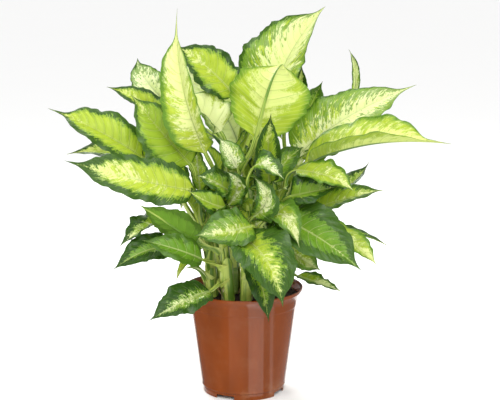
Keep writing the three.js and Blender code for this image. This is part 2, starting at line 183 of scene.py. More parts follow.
YOUNG_LEAVES = [
    Young("a", 214, 200, 34, 34, 70, 34, 30),
    Young("a", 240, 320, 30, 30, 66, 30, 40),
    Young("a", 262, 110, 22, 30, 74, 30, 35),
    Young("b", 196, 250, 44, 26, 58, 30, 30),
    Young("b", 226, 60, 26, 26, 64, 30, 45),
    Young("b", 236, 170, 38, 24, 56, 28, 35),
    Young("c", 226, 275, 30, 34, 72, 34, 35),
    Young("c", 262, 185, 24, 36, 78, 32, 40),
    Young("c", 286, 20, 20, 34, 76, 30, 45),
    Young("c", 244, 90, 26, 34, 76, 32, 35),
    Young("d", 202, 300, 42, 26, 58, 30, 30),
    Young("d", 232, 45, 28, 28, 66, 30, 40),
    Young("d", 240, 150, 24, 28, 62, 28, 45),
    Young("e", 208, 20, 40, 28, 62, 30, 30),
    Young("e", 236, 130, 22, 30, 72, 30, 40),
    Young("e", 244, 270, 30, 26, 58, 28, 40),
    Young("f", 226, 200, 26, 32, 72, 32, 35),
    Young("f", 262, 350, 30, 32, 70, 30, 40),
    Young("f", 250, 90, 30, 32, 70, 32, 35),
    Young("g", 246, 240, 20, 36, 78, 32, 40),
    Young("g", 282, 20, 22, 34, 74, 30, 45),
    Young("g", 262, 120, 28, 34, 76, 32, 35),
    Young("h", 228, 280, 24, 34, 76, 32, 40),
    Young("h", 256, 170, 30, 32, 72, 30, 35),
    Young("h", 240, 60, 28, 32, 72, 32, 40),
    Young("a", 246, 250, 52, 24, 56, 28, 18),
    Young("b", 232, 262, 58, 24, 56, 30, 14),
    Young("b", 250, 215, 64, 20, 46, 26, 20),
    Young("c", 272, 262, 46, 30, 62, 30, 25),
    Young("c", 250, 320, 44, 30, 60, 28, 30),
    Young("d", 226, 236, 60, 26, 58, 30, 16),
    Young("d", 248, 285, 56, 22, 50, 28, 22),
    Young("e", 222, 262, 66, 22, 52, 28, 16),
    Young("e", 250, 225, 50, 24, 56, 28, 22),
    Young("g", 268, 285, 34, 40, 70, 30, 30),
    Young("a", 152, 205, 60, 16, 42, 9, 40, 1),
    Young("d", 262, 250, 40, 20, 54, 24, 10, 0.6),
    Young("c", 236, 250, 56, 24, 56, 28, 8, 0.4),
    Young("e", 262, 290, 60, 20, 52, 26, 8, 0.4),
]


# ---------------------------------------------------------------------------
# Settings that a user would change


class PotSettings(bpy.types.PropertyGroup):
    """Grower's pot"""

    plastic: bpy.props.FloatVectorProperty(
        name="Plastic", description="Colour of the plastic", subtype="COLOR",
        default=screen(124, 57, 10), min=0, max=1,
    )
    gloss: bpy.props.FloatProperty(
        name="Roughness", description="Roughness of the plastic", default=0.1, min=0, max=1,
        subtype="FACTOR",
    )


class SoilSettings(bpy.types.PropertyGroup):
    """Potting soil"""

    lumps: bpy.props.IntProperty(
        name="Lumps", description="Loose lumps on the soil", default=520, min=0
    )
    roughness: bpy.props.FloatProperty(
        name="Unevenness", description="How far the top goes up and down", default=1.4 * MM,
        unit="LENGTH",
    )
    peat: bpy.props.FloatVectorProperty(
        name="Peat", description="Colour of the damp peat", subtype="COLOR",
        default=screen(46, 32, 24), min=0, max=1,
    )


class StemSettings(bpy.types.PropertyGroup):
    """Canes"""

    green: bpy.props.FloatVectorProperty(
        name="Cane", description="Colour of a cane", subtype="COLOR",
        default=screen(128, 158, 62), min=0, max=1,
    )
    dry: bpy.props.FloatVectorProperty(
        name="Dry sheath", description="Colour of a withered leaf sheath", subtype="COLOR",
        default=screen(196, 182, 122), min=0, max=1,
    )


class LeafSettings(bpy.types.PropertyGroup):
    """Leaves"""

    blade: bpy.props.FloatProperty(
        name="Blade", description="Thickness of a blade", default=0.45 * MM, unit="LENGTH"
    )
    camber: bpy.props.FloatProperty(
        name="Camber", description="Height of a half blade's arch, as a share of its width",
        default=0.09, subtype="FACTOR",
    )
    wave: bpy.props.FloatProperty(
        name="Wave", description="Height of a margin's waves, as a share of the half's width",
        default=0.085, subtype="FACTOR",
    )
    quilt: bpy.props.FloatProperty(
        name="Quilting", description="How far the blade rises between two veins",
        default=1.3 * MM, unit="LENGTH",
    )
    pucker: bpy.props.FloatProperty(
        name="Puckering", description="Height of the blade's broad dents and swells",
        default=3.2 * MM, unit="LENGTH",
    )
    vein_step: bpy.props.FloatProperty(
        name="Vein step", description="Distance between two side veins along the midrib",
        default=13 * MM, unit="LENGTH",
    )
    margin: bpy.props.FloatVectorProperty(
        name="Margin", description="Dark green of the margin", subtype="COLOR",
        default=screen(48, 84, 22), min=0, max=1,
    )
    middle: bpy.props.FloatVectorProperty(
        name="Mid green", description="Green of the deeper middles", subtype="COLOR",
        default=screen(112, 156, 42), min=0, max=1,
    )
    lime: bpy.props.FloatVectorProperty(
        name="Lime", description="Yellow green of the blade", subtype="COLOR",
        default=screen(190, 207, 60), min=0, max=1,
    )
    cream: bpy.props.FloatVectorProperty(
        name="Cream", description="Palest part of the blade", subtype="COLOR",
        default=screen(236, 239, 160), min=0, max=1,
    )
    stalk: bpy.props.FloatVectorProperty(
        name="Stalk", description="Green of the stalk and the rib", subtype="COLOR",
        default=screen(142, 174, 62), min=0, max=1,
    )


class StageSettings(bpy.types.PropertyGroup):
    """Floor, light and camera"""

    floor: bpy.props.FloatVectorProperty(
        name="Floor", description="Colour of the floor", subtype="COLOR",
        default=(0.93, 0.93, 0.925), min=0, max=1,
    )
    light: bpy.props.FloatProperty(
        name="Light", description="Strength of all the lamps", default=1.0, min=0
    )
    lens: bpy.props.FloatProperty(
        name="Lens", description="Focal length", default=103.8, unit="CAMERA"
    )


class PlantSettings(bpy.types.PropertyGroup):
    """All the settings of the potted plant"""

    pot: bpy.props.PointerProperty(type=PotSettings)
    soil: bpy.props.PointerProperty(type=SoilSettings)
    stems: bpy.props.PointerProperty(type=StemSettings)
    leaves: bpy.props.PointerProperty(type=LeafSettings)
    stage: bpy.props.PointerProperty(type=StageSettings)


# ---------------------------------------------------------------------------
# Materials


class Finish:
    """A node material, put together one node at a time."""

    def __init__(self, name):
        self.material = bpy.data.materials.new(name)
        self.material.use_nodes = True
        self.nodes = self.material.node_tree.nodes
        self.links = self.material.node_tree.links
        self.nodes.clear()

    def feed(self, socket, value):
        """Link a socket to another, or set its colour or number."""
        if isinstance(value, bpy.types.NodeSocket):
            self.links.new(value, socket)
        elif socket.type == "RGBA":
            socket.default_value = (*value[:3], 1)
        else:
            socket.default_value = value

    def add(self, kind, inputs=None, **settings):
        """Shader node of a kind, with its inputs fed and its settings made."""
        node = self.nodes.new("ShaderNode" + kind)
        for name, value in settings.items():
            setattr(node, name, value)
        for key, value in (inputs or {}).items():
            self.feed(node.inputs[key], value)
        return node

    def math(self, operation, *values, clamp=False):
        """Result of a sum or other operation on numbers."""
        node = self.add("Math", dict(enumerate(values)), operation=operation, use_clamp=clamp)
        return node.outputs[0]

    def total(self, *values):
        """Sum of values."""
        result = values[0]
        for value in values[1:]:
            result = self.math("ADD", result, value)
        return result

    def scaled(self, value, factor, offset=0.0):
        """A number times a factor, plus an offset."""
        return self.math("MULTIPLY_ADD", value, factor, offset)

    def step(self, value, low, high):
        """0 where value is under low, 1 where it is over high, with a smooth way between."""
        node = self.add(
            "MapRange", {"Value": value, "From Min": low, "From Max": high},
            interpolation_type="SMOOTHSTEP",
        )
        return node.outputs["Result"]

    def blend(self, share, first, second, mode="MIX"):
        """Colour between two others: the first where the share is 0, the second where it is 1."""
        node = self.add("Mix", {0: share, 6: first, 7: second}, data_type="RGBA", blend_type=mode)
        return node.outputs[2]

    def noise(self, place, scale=1.0, detail=2.0, roughness=0.5):
        """Noise that goes from 0 to 1."""
        inputs = {"Vector": place, "Scale": scale, "Detail": detail, "Roughness": roughness}
        return self.add("TexNoise", inputs).outputs["Fac"]

    def around(self, place, scale=1.0, detail=2.0, roughness=0.5):
        """Noise that goes from -0.5 to 0.5."""
        return self.scaled(self.noise(place, scale, detail, roughness), 1.0, -0.5)

    def place(self):
        """Place on the object in metres."""
        return self.add("TexCoord").outputs["Object"]

    def own(self, name):
        """The three numbers of a named vector on the mesh."""
        vector = self.add("Attribute", attribute_name=name).outputs["Vector"]
        return self.parts(vector)

    def parts(self, vector):
        """The three numbers of a vector."""
        return tuple(self.add("SeparateXYZ", {0: vector}).outputs)

    def joined(self, x, y, z):
        """Vector of three numbers."""
        return self.add("CombineXYZ", {0: x, 1: y, 2: z}).outputs[0]

    def bump(self, height, distance, strength=1.0):
        """Direction of a surface with bumps up to a distance high."""
        inputs = {"Height": height, "Distance": distance, "Strength": strength}
        return self.add("Bump", inputs).outputs[0]

    def surface(self, **values):
        """Principled shader, with its sockets named with underscores."""
        names = {key: key.replace("_", " ") for key in values}
        node = self.add("BsdfPrincipled")
        for key, value in values.items():
            self.feed(node.inputs[names[key]], value)
        return node.outputs[0]

    def close(self, shader):
        """The finished material, with a shader for its surface."""
        output = self.add("OutputMaterial", {"Surface": shader})
        output.is_active_output = True
        return self.material

    def close_thin(self, front, colour, through):
        """The finished material of a thin skin, which lets a share of the light through."""
        back = self.add("BsdfTranslucent", {"Color": colour}).outputs[0]
        return self.close(self.add("MixShader", {0: through, 1: front, 2: back}).outputs[0])


# How the two faces of a blade differ
# streak: strength of its fine pale streaks
# hairs, hair, line: how many fine lines there are to a vein, how wide, and how pale
# groove: how far the groove along the rib is darkened to mid green, a painted shade
# roughness, specular, relief: its gloss, and the height of its bumps
# through: share of the light that comes through
Face = namedtuple("Face", "streak hairs hair line groove roughness specular relief through")
UPPER_FACE = Face(1.0, 5.0, 0.34, 0.08, 0.45, 0.2, 0.34, 0.6 * MM, 0.3)
LOWER_FACE = Face(0.35, 3.0, 0.2, 0.34, 0.0, 0.5, 0.24, 0.35 * MM, 0.4)


def blade_finish(name, colours, face):
    """Variegated face of a blade, by where on the leaf a point is and by the leaf's marking, with
    painted shade in the vein valleys and in the groove by the rib.
    """
    f = Finish(name)
    across, along, rib = f.own("leaf_place")
    border, cream_share, fleck = f.own("leaf_marking")
    seed, veins, deep = f.own("leaf_habit")
    edge, white, soft = f.own("leaf_tone")
    side = f.math("ABSOLUTE", across)
    inward = f.scaled(side, -1.0, 1.0)
    lengthwise = f.math("MULTIPLY", along, veins)

    def streaks(often, reach, shift=0.0, detail=2):
        """Streaks that run from the midrib to the margin, along the side veins."""
        place = f.joined(
            f.scaled(lengthwise, often), f.scaled(across, reach), f.scaled(seed, 1.0, shift)
        )
        return f.around(place, detail=detail, roughness=0.6)

    feather = streaks(3.6, 3.2, detail=3)
    fine = streaks(9.0, 7.0, shift=7.0)
    spots = streaks(5.5, 7.0, shift=13.0)
    patch = streaks(0.5, 1.3, shift=19.0)
    band = streaks(1.7, 0.6, shift=29.0)
    speck = f.around(f.place(), scale=520, detail=1)
    blotch = f.around(f.place(), scale=110, detail=3)
    tone = f.around(f.joined(f.scaled(seed, 3.7), 0.0, 0.0))

    # Green edge: dark outside, then mid green, in feathers that point to the midrib
    reach = f.scaled(border, 1.3, 0.14)
    loose = f.total(
        f.scaled(feather, 0.8), f.scaled(fine, 0.7), f.scaled(blotch, 0.7), f.scaled(speck, 0.4)
    )
    inside = f.total(inward, f.scaled(border, -1.0), f.math("MULTIPLY", loose, reach))
    dark = f.step(inside, 0.02, -0.05)
    half_dark = f.step(f.math("SUBTRACT", inside, f.scaled(soft, 0.22)), 0.14, -0.06)
    scatter = f.total(f.scaled(spots, 2.2), f.scaled(fleck, 0.22), f.scaled(inside, -0.9))
    flecked = f.step(scatter, 0.36, 0.46)
    holes = f.step(f.total(f.scaled(spots, -1.5), f.scaled(inside, 1.6)), 0.16, 0.28)

    # Pale streaks spread out from the midrib, and are softer on the lower face
    pale = f.total(
        f.scaled(cream_share, 1.5, -0.42), f.scaled(side, -0.55), f.scaled(along, 0.8, -0.36),
        f.scaled(feather, 1.1 * face.streak), f.scaled(fine, 1.1 * face.streak),
        f.scaled(patch, 0.9), f.scaled(band, 1.1), f.scaled(blotch, 0.7), f.scaled(speck, 0.4),
    )
    pale = f.step(pale, -0.1, 0.26)

    # Side veins, the valleys they lie in with a painted shade, and finer lines between them
    nearness = f.math("PINGPONG", lengthwise, 0.5)
    vein = f.math("MULTIPLY", f.step(nearness, 0.06, 0.0), f.step(inward, 0.06, 0.5))
    painted_valley_shade = f.step(nearness, 0.34, 0.04)
    hair = f.step(f.math("PINGPONG", f.scaled(lengthwise, face.hairs), 0.5), face.hair, 0.0)

    # The leaf's own colours and the patches of each, with a mid green from deep that is partly
    # painted shade, and a painted shade in the vein valleys
    margin = f.blend(edge, colours.middle, colours.margin)
    cream = f.blend(white, colours.cream, WHITISH_CREAM)
    # deep takes the lime towards mid green: partly the leaf's own tone, partly painted shade
    lime = f.blend(deep, colours.lime, colours.middle)
    rich = f.blend(0.45, lime, colours.middle)
    richness = f.total(patch, band, f.scaled(fine, 0.8), f.scaled(tone, 0.8))
    lime = f.blend(f.step(richness, -0.14, 0.36), lime, rich)
    # Painted shade: the lime goes a little towards mid green in the valleys along the side veins
    lime = f.blend(f.scaled(painted_valley_shade, 0.14), lime, colours.middle)
    body = f.blend(f.scaled(pale, 0.92), lime, cream)
    middle = f.blend(f.step(fine, -0.1, 0.2), colours.middle, f.blend(0.4, colours.middle, margin))
    edging = f.blend(f.step(f.total(fine, f.scaled(feather, 0.6)), -0.02, 0.25), margin, middle)
    edging = f.blend(0.6, edging, margin)
    skin = f.blend(f.scaled(half_dark, 0.85), body, middle)
    skin = f.blend(f.scaled(flecked, 0.8), skin, middle)
    skin = f.blend(dark, skin, edging)
    skin = f.blend(f.math("MULTIPLY", holes, f.scaled(dark, 0.55)), skin, lime)

    # Veins, fine lines, and the rib with a painted shade in its groove
    if face is LOWER_FACE:
        skin = f.blend(0.14, skin, f.blend(0.5, colours.middle, colours.stalk))
        vein_colour = colours.stalk
        rib_colour = colours.stalk
    else:
        vein_colour = f.blend(0.6, lime, cream)
        rib_colour = f.blend(0.7, lime, cream)
    veined = f.math("MULTIPLY", vein, f.scaled(dark, -0.4, 0.55))
    skin = f.blend(veined, skin, vein_colour)
    lined = f.math("MULTIPLY", f.scaled(feather, 0.3, face.line), f.scaled(dark, -0.8, 1.0))
    lined = f.math("MULTIPLY", lined, f.scaled(deep, -1.0, 1.0), clamp=True)
    skin = f.blend(f.math("MULTIPLY", hair, lined), skin, f.blend(0.5, lime, cream))
    ribbed = f.math("MULTIPLY", f.step(rib, 0.95, 0.5), f.step(along, 1.0, 0.6))
    ribbed = f.math("MULTIPLY", ribbed, f.scaled(tone, 2.2, 0.6), clamp=True)
    skin = f.blend(f.scaled(ribbed, 0.85), skin, rib_colour)
    # Painted shade: the upper face goes towards mid green in the groove beside the rib
    painted_groove_shade = f.math("MULTIPLY", f.step(rib, 0.34, 0.1), f.step(along, 0.8, 0.2))
    skin = f.blend(f.scaled(painted_groove_shade, face.groove), skin, colours.middle)

    relief = f.total(
        f.scaled(vein, -1.0), f.scaled(hair, -0.1), f.scaled(speck, 0.4), f.scaled(fine, 0.9)
    )
    front = f.surface(
        Base_Color=skin,
        Roughness=f.scaled(f.noise(f.place(), scale=90, detail=3), 0.2, face.roughness),
        Specular_IOR_Level=face.specular,
        Normal=f.bump(relief, face.relief, 0.8),
    )
    glow = f.blend(1.0, skin, LIGHT_THROUGH, mode="MULTIPLY")
    return f.close_thin(front, glow, face.through)


def stalk_finish(colours):
    """Finely lined skin of a stalk or sheath, with pale edges."""
    f = Finish("leaf_stalk")
    across, along, _ = f.own("leaf_place")
    seed, _, _ = f.own("leaf_habit")
    side = f.math("ABSOLUTE", across)
    lines = f.around(f.joined(f.scaled(across, 11.0), f.scaled(along, 2.5), seed), detail=3)
    broad = f.around(f.joined(f.scaled(across, 2.2), f.scaled(along, 0.8), seed))
    blots = f.around(f.place(), scale=120, detail=3)
    deep = f.blend(0.5, colours.middle, colours.margin)
    bright = f.blend(0.2, f.blend(0.6, colours.stalk, colours.lime), colours.cream)
    strips = f.step(f.total(f.scaled(lines, 0.5), f.scaled(broad, 1.8)), -0.14, 0.14)
    skin = f.blend(strips, bright, f.blend(0.9, colours.stalk, deep))
    rim = f.math("MULTIPLY", f.step(side, 0.72, 0.95), f.step(along, -0.2, -0.5))
    skin = f.blend(f.scaled(rim, 0.75), skin, f.blend(0.5, colours.lime, colours.cream))
    skin = f.blend(f.scaled(f.step(blots, 0.08, 0.2), 0.3), skin, deep)
    relief = f.total(f.scaled(lines, 1.2), f.scaled(blots, 0.3))
    front = f.surface(
        Base_Color=skin, Roughness=f.scaled(blots, 0.3, 0.36),
        Normal=f.bump(relief, 0.35 * MM, 0.7),
    )
    return f.close_thin(front, skin, 0.12)


def cane_finish(settings):
    """Green cane with lengthwise lines, blotches and dry rings where leaves have dropped."""
    f = Finish("cane_skin")
    turn, height, scar = f.own("cane_place")
    lines = f.around(f.joined(f.scaled(turn, 14.0), f.scaled(height, 30.0), 0.0), detail=3)
    blots = f.around(f.place(), scale=160, detail=4, roughness=0.6)
    deeper = f.blend(0.5, settings.green, CANE_BLOTCH)
    skin = f.blend(f.step(lines, -0.2, 0.25), settings.green, deeper)
    skin = f.blend(f.step(blots, 0.06, 0.2), skin, CANE_BLOTCH)
    ring = f.math("MULTIPLY", scar, f.step(blots, -0.35, 0.1))
    skin = f.blend(f.scaled(ring, 0.35), skin, settings.dry)
    relief = f.total(f.scaled(lines, 0.6), f.scaled(blots, 0.6), f.scaled(scar, 0.8))
    return f.close(
        f.surface(
            Base_Color=skin, Roughness=f.scaled(blots, 0.35, 0.5),
            Normal=f.bump(relief, 0.4 * MM, 0.8),
        )
    )


def dry_finish(settings):
    """Papery withered sheath."""
    f = Finish("dry_sheath")
    x, y, z = f.parts(f.place())
    upright = f.joined(f.scaled(x, 900.0), f.scaled(y, 900.0), f.scaled(z, 90.0))
    fibres = f.around(upright, detail=3)
    blots = f.around(f.place(), scale=110, detail=3)
    skin = f.blend(f.step(fibres, -0.2, 0.25), settings.dry, DRY_FIBRE)
    skin = f.blend(f.step(blots, -0.02, 0.16), skin, DRY_SPOT)
    front = f.surface(
        Base_Color=skin, Roughness=0.8, Specular_IOR_Level=0.3,
        Normal=f.bump(fibres, 0.4 * MM, 0.8),
    )
    return f.close_thin(front, skin, 0.25)


def plastic_finish(settings):
    """Glossy moulded plastic with faint flow marks, fine scuffs and a little dust."""
    f = Finish("pot_plastic")
    x, y, z = f.parts(f.place())
    turn = f.math("ARCTAN2", y, x)
    flow = f.around(f.joined(f.scaled(turn, 2.5), 0.0, f.scaled(z, 9.0)), detail=2)
    ripple = f.around(f.joined(f.scaled(turn, 1.2), 0.0, f.scaled(z, 60.0)), detail=1)
    upright = f.joined(f.scaled(x, 900.0), f.scaled(y, 900.0), f.scaled(z, 160.0))
    scuff = f.around(upright, detail=3)
    cloud = f.noise(f.place(), scale=28, detail=4, roughness=0.6)
    deeper = tuple(c * 0.8 for c in settings.plastic)
    skin = f.blend(f.step(flow, -0.25, 0.25), settings.plastic, deeper)
    low = f.step(z, 30 * MM, 2 * MM)
    dust = f.math("MULTIPLY", f.step(cloud, 0.45, 0.75), f.scaled(low, 0.22, 0.05))
    skin = f.blend(dust, skin, DUST)
    gloss = f.total(
        f.scaled(cloud, 0.06, settings.gloss - 0.03), f.scaled(f.step(scuff, 0.2, 0.34), 0.15),
        f.scaled(dust, 0.8),
    )
    relief = f.total(f.scaled(ripple, 1.0), f.scaled(flow, 0.8), f.scaled(scuff, 0.04))
    return f.close(
        f.surface(
            Base_Color=skin, Roughness=gloss, Specular_IOR_Level=0.26,
            Normal=f.bump(relief, 0.2 * MM, 0.3),
        )
    )


def soil_finish(settings):
    """Dark damp peat with paler fibres and grains."""
    f = Finish("potting_soil")
    grain = f.around(f.place(), scale=420, detail=5, roughness=0.7)
    clod = f.around(f.place(), scale=90, detail=4, roughness=0.6)
    fibre = f.around(f.place(), scale=900, detail=2)
    deeper = tuple(c * 0.45 for c in settings.peat)
    skin = f.blend(f.step(clod, -0.15, 0.2), settings.peat, deeper)
    skin = f.blend(f.step(grain, 0.1, 0.28), skin, PEAT_GRAIN)
    skin = f.blend(f.step(fibre, 0.2, 0.27), skin, PEAT_FIBRE)
    relief = f.total(f.scaled(grain, 1.0), f.scaled(clod, 1.6), f.scaled(fibre, 0.3))
    return f.close(
        f.surface(
            Base_Color=skin, Roughness=f.scaled(grain, 0.3, 0.85), Specular_IOR_Level=0.25,
            Normal=f.bump(relief, 1.2 * MM, 1.0),
        )
    )


def floor_finish(colour):
    """Smooth pale floor with a hint of mottling."""
    f = Finish("pale_floor")
    cloud = f.noise(f.place(), scale=3, detail=3)
    skin = f.blend(f.scaled(cloud, 0.3), colour, tuple(c * 0.97 for c in colour))
    return f.close(f.surface(Base_Color=skin, Roughness=0.6, Specular_IOR_Level=0.2))


# ---------------------------------------------------------------------------
# Shapes


def smooth(value, low, high):
    """0 at low, 1 at high, with a smooth way between."""
    t = np.clip((np.asarray(value, float) - low) / (high - low), 0, 1)
    return t * t * (3 - 2 * t)


def unit(vectors):
    """Vectors of the same directions, with a length of 1."""
    return vectors / np.maximum(np.linalg.norm(vectors, axis=-1, keepdims=True), 1e-12)


def curve(stops, rows, places):
    """Smooth curve through rows at stops, read at places."""
    slopes = np.gradient(rows, stops, axis=0)
    index = np.clip(np.searchsorted(stops, places, side="right") - 1, 0, len(stops) - 2)
    span = stops[index + 1] - stops[index]
    t = ((places - stops[index]) / span)[..., None]
    span = span[..., None]
    return (
        (2 * t**3 - 3 * t**2 + 1) * rows[index]
        + (t**3 - 2 * t**2 + t) * span * slopes[index]
        + (3 * t**2 - 2 * t**3) * rows[index + 1]
        + (t**3 - t**2) * span * slopes[index + 1]
    )


def make_mesh(name, points, faces, materials, face_materials=None, vectors=None, sharp=40):
    """Mesh object with smooth faces, except across edges sharper than an angle in degrees."""
    mesh = bpy.data.meshes.new(name)
    mesh.from_pydata([tuple(p) for p in points], [], [tuple(f) for f in faces])
    for material in materials:
        mesh.materials.append(material)
    if face_materials is not None:
        mesh.polygons.foreach_set("material_index", np.asarray(face_materials, np.int32))
    for key, values in (vectors or {}).items():
        attribute = mesh.attributes.new(key, "FLOAT_VECTOR", "POINT")
        attribute.data.foreach_set("vector", np.asarray(values, np.float32).ravel())
    mesh.polygons.foreach_set("use_smooth", np.ones(len(mesh.polygons), bool))
    mesh.set_sharp_from_angle(angle=math.radians(sharp))
    if mesh.validate():
        raise RuntimeError(f"{name} has bad faces")
    piece = bpy.data.objects.new(name, mesh)
    bpy.context.scene.collection.objects.link(piece)
    return piece


def tube_faces(rings, sides):
    """Faces between rings of points."""
    turn = [(k, (k + 1) % sides) for k in range(sides)]
    starts = range(0, (rings - 1) * sides, sides)
    return [(i + a, i + b, i + b + sides, i + a + sides) for i in starts for a, b in turn]


def place_piece(piece, slot, *nodes):
    """The piece rides on the plant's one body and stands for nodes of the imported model."""
    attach(piece, "root")
    if nodes:
        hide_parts(*nodes)
    return piece


def node_points(node):
    """The node's corners, and for each the set of corners that share an edge with it."""
    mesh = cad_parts[node].data
    places = {}
    index = []
    for vertex in mesh.vertices:
        key = tuple(round(c, 6) for c in vertex.co)
        index.append(places.setdefault(key, len(places)))
    near = [set() for _ in places]
    for edge in mesh.edges:
        a, b = (index[k] for k in edge.vertices)
        if a != b:
            near[a].add(b)
            near[b].add(a)
    return np.array(list(places)), near


def matched(ring, last):
    """A ring's corners in the order of the last ring's: right, left, over and under."""
    across, through = unit(last[0] - last[1]), unit(last[2] - last[3])
    return max(
        (np.array(order) for order in itertools.permutations(ring)),
        key=lambda c: np.dot(unit(c[0] - c[1]), across) + np.dot(unit(c[2] - c[3]), through),
    )


# A leaf's node is a loft of rings of four corners: two margins and both faces of the rib.
RING = 4
STALK_RINGS = 4
# Where between the rib's upper and lower face the leaf's own line runs, and the rib's depth at
# the leaf's tip
LINE_SHARE = 0.27
TIP_DEPTH = 0.3 * MM

# Lengths along a leaf are shares of its blade's length, with 0 at the blade's foot.
Bones = namedtuple("Bones", "stops line right left up depth length stalk")


def leaf_bones(node):
    """Line, halves and upward direction of a leaf, ring by ring, from the foot to the tip."""
    points, near = node_points(node)
    ends = [k for k, others in enumerate(near) if len(others) == RING]
    ends.sort(key=lambda k: np.linalg.norm(points[k] - points[list(near[k])].mean(0)))
    start, tip = ends
    rings = []
    seen = {start}
    ring = set(near[start])
    while len(ring) == RING:
        rings.append(sorted(ring))
        seen |= ring
        ring = set().union(*(near[k] for k in ring)) - seen
    if ring != {tip}:
        raise RuntimeError(f"{node} isn't a loft of rings of {RING}")

    # The widest ring's margins are its corners furthest apart. The other rings follow from it.
    corners = points[np.array(rings)]
    gaps = np.linalg.norm(corners[:, :, None] - corners[:, None], axis=-1)
    centre = int(gaps.max((1, 2)).argmax())
    a, b = np.unravel_index(gaps[centre].argmax(), gaps[centre].shape)
    right, left = corners[centre][[a, b]]
    over, under = (corners[centre][k] for k in range(RING) if k not in (a, b))
    chord = (right + left) / 2
    if np.linalg.norm(over - chord) > np.linalg.norm(under - chord):
        over, under = under, over
    ahead = corners[centre + 1].mean(0) - corners[centre - 1].mean(0)
    if np.dot(np.cross(ahead, over - under), right - left) < 0:
        right, left = left, right
    ordered = {centre: np.array([right, left, over, under])}
    for k in [*range(centre + 1, len(rings)), *range(centre - 1, -1, -1)]:
        ordered[k] = matched(corners[k], ordered[k - 1 if k > centre else k + 1])
    ordered = np.array([ordered[k] for k in range(len(rings))])
    right, left, over, under = np.moveaxis(ordered, 1, 0)

    line = over + (under - over) * LINE_SHARE
    up = unit(over - under)
    depth = np.linalg.norm(over - under, axis=1)[:, None] * (1 - LINE_SHARE)
    line = np.vstack([line, points[tip]])
    right = np.vstack([right, points[tip]]) - line
    left = np.vstack([left, points[tip]]) - line
    up = np.vstack([up, up[-1]])
    depth = np.vstack([depth, TIP_DEPTH])
    steps = np.concatenate([[0], np.linalg.norm(np.diff(line, axis=0), axis=1).cumsum()])
    base = steps[STALK_RINGS]
    length = steps[-1] - base
    stops = (steps - base) / length
    return Bones(stops, line, right, left, up, depth, length, base / length)


def cane_rings(node):
    """Height, middle and radius of a cane at each level of its node."""
    points, _ = node_points(node)
    levels = {}
    for point in points:
        levels.setdefault(round(point[2], 4), []).append(point)
    rings = []
    for height, ring in sorted(levels.items()):
        ring = np.array(ring)
        middle = (ring.min(0) + ring.max(0)) / 2
        rings.append([height, *middle[:2], (ring[:, 0].max() - ring[:, 0].min()) / 2])
    return np.array(rings)


CANES = {name[-1]: cane_rings(name) for name in STEMS}


def cane_at(cane, height):
    """Middle and radius of a cane at a height."""
    return [np.interp(height, cane[:, 0], cane[:, k]) for k in (1, 2, 3)]


# Grid of a leaf: columns over half of the rib and half of the blade, and rows
RIB_COLUMNS = (0.35, 0.7, 1.0)
BLADE_COLUMNS = 9
ROWS_PER_VEIN = 6
STALK_ROWS = 18
LEAST_VEINS = 5
# How far side veins sweep forward, at least and at most, as a share of the blade's length
VEIN_SWEEP = (0.15, 0.3)

# Blade's width against its node's: where it slims to the tip, and how much, and how much
# rounder it is at its base, and how far up
TIP_FROM, TIP_TO, TIP_SLIMMER = 0.8, 0.95, 0.42
BASE_ROUNDER, BASE_REACH = 0.55, 0.1
# Where a heavy blade changes from wider to slimmer
HEAVY_MIDDLE = 0.45

# Half widths of a blade between which each relief grows from nothing to full
THICKNESS_GROWS = (0, 6 * MM)
QUILT_GROWS = (4 * MM, 22 * MM)
VEIN_GROWS = (6 * MM, 24 * MM)
PUCKER_GROWS = (6 * MM, 30 * MM)
LEAST_THICKNESS = 0.1 * MM
VEIN_HEIGHT = 0.3 * MM

# Sheath at a stalk's foot: how far each side wraps the cane in radians, at least and at the
# foot, its share of the stalk's length, and where along the stalk it passes into the blade
LEAST_WING = 0.12
SHEATH_WRAP = 1.3
SHEATH_LENGTH = 0.34
SHEATH_END = -0.16


def leaf_columns():
    """Each column across a leaf, from right to left: its side, share of rib and share of blade."""
    half = [(1.0, k / BLADE_COLUMNS) for k in range(BLADE_COLUMNS, 0, -1)]
    half += [(share, 0.0) for share in reversed(RIB_COLUMNS)]
    right = [(1, rib, blade) for rib, blade in half]
    left = [(-1, rib, blade) for rib, blade in reversed(half)]
    return np.array([*right, (0, 0.0, 0.0), *left])


def leaf_rows(veins):
    """Rows along a leaf: -1 at the stalk's foot, 0 at the blade's, and almost 1 at the tip."""
    stalk = np.linspace(-1, 0, STALK_ROWS, endpoint=False)
    count = veins * ROWS_PER_VEIN
    blade = np.arange(count) / count
    return np.concatenate([stalk, blade, [1 - 0.45 / count]])


def leaf_half(bones, half, reach):
    """One half of a leaf. Along the stalk, its width runs straight from ring to ring."""
    width = np.interp(reach, bones.stops, np.linalg.norm(half, axis=1))[..., None]
    stalk = unit(curve(bones.stops, unit(half), reach)) * width
    return np.where(reach[..., None] < 0, stalk, curve(bones.stops, half, reach))


def blade_slimness(at, marking):
    """Blade's width as a share of its node's: drawn out thin at the tip, round at the base."""
    drawn = 0.1 * marking.tail
    tip = smooth(at, TIP_FROM - drawn, TIP_TO - drawn)
    slim = 1 - (TIP_SLIMMER + 2.8 * drawn) * tip
    along = np.clip(at, 0, 1)
    slim = slim + BASE_ROUNDER * np.exp(-along / BASE_REACH) * smooth(at, 0, 0.04)
    foot = smooth(at, 0, 0.1)
    slim = slim * (1 + marking.heavy * (HEAVY_MIDDLE - along) * foot)
    return slim * (1 + (marking.broad - 1) * foot)


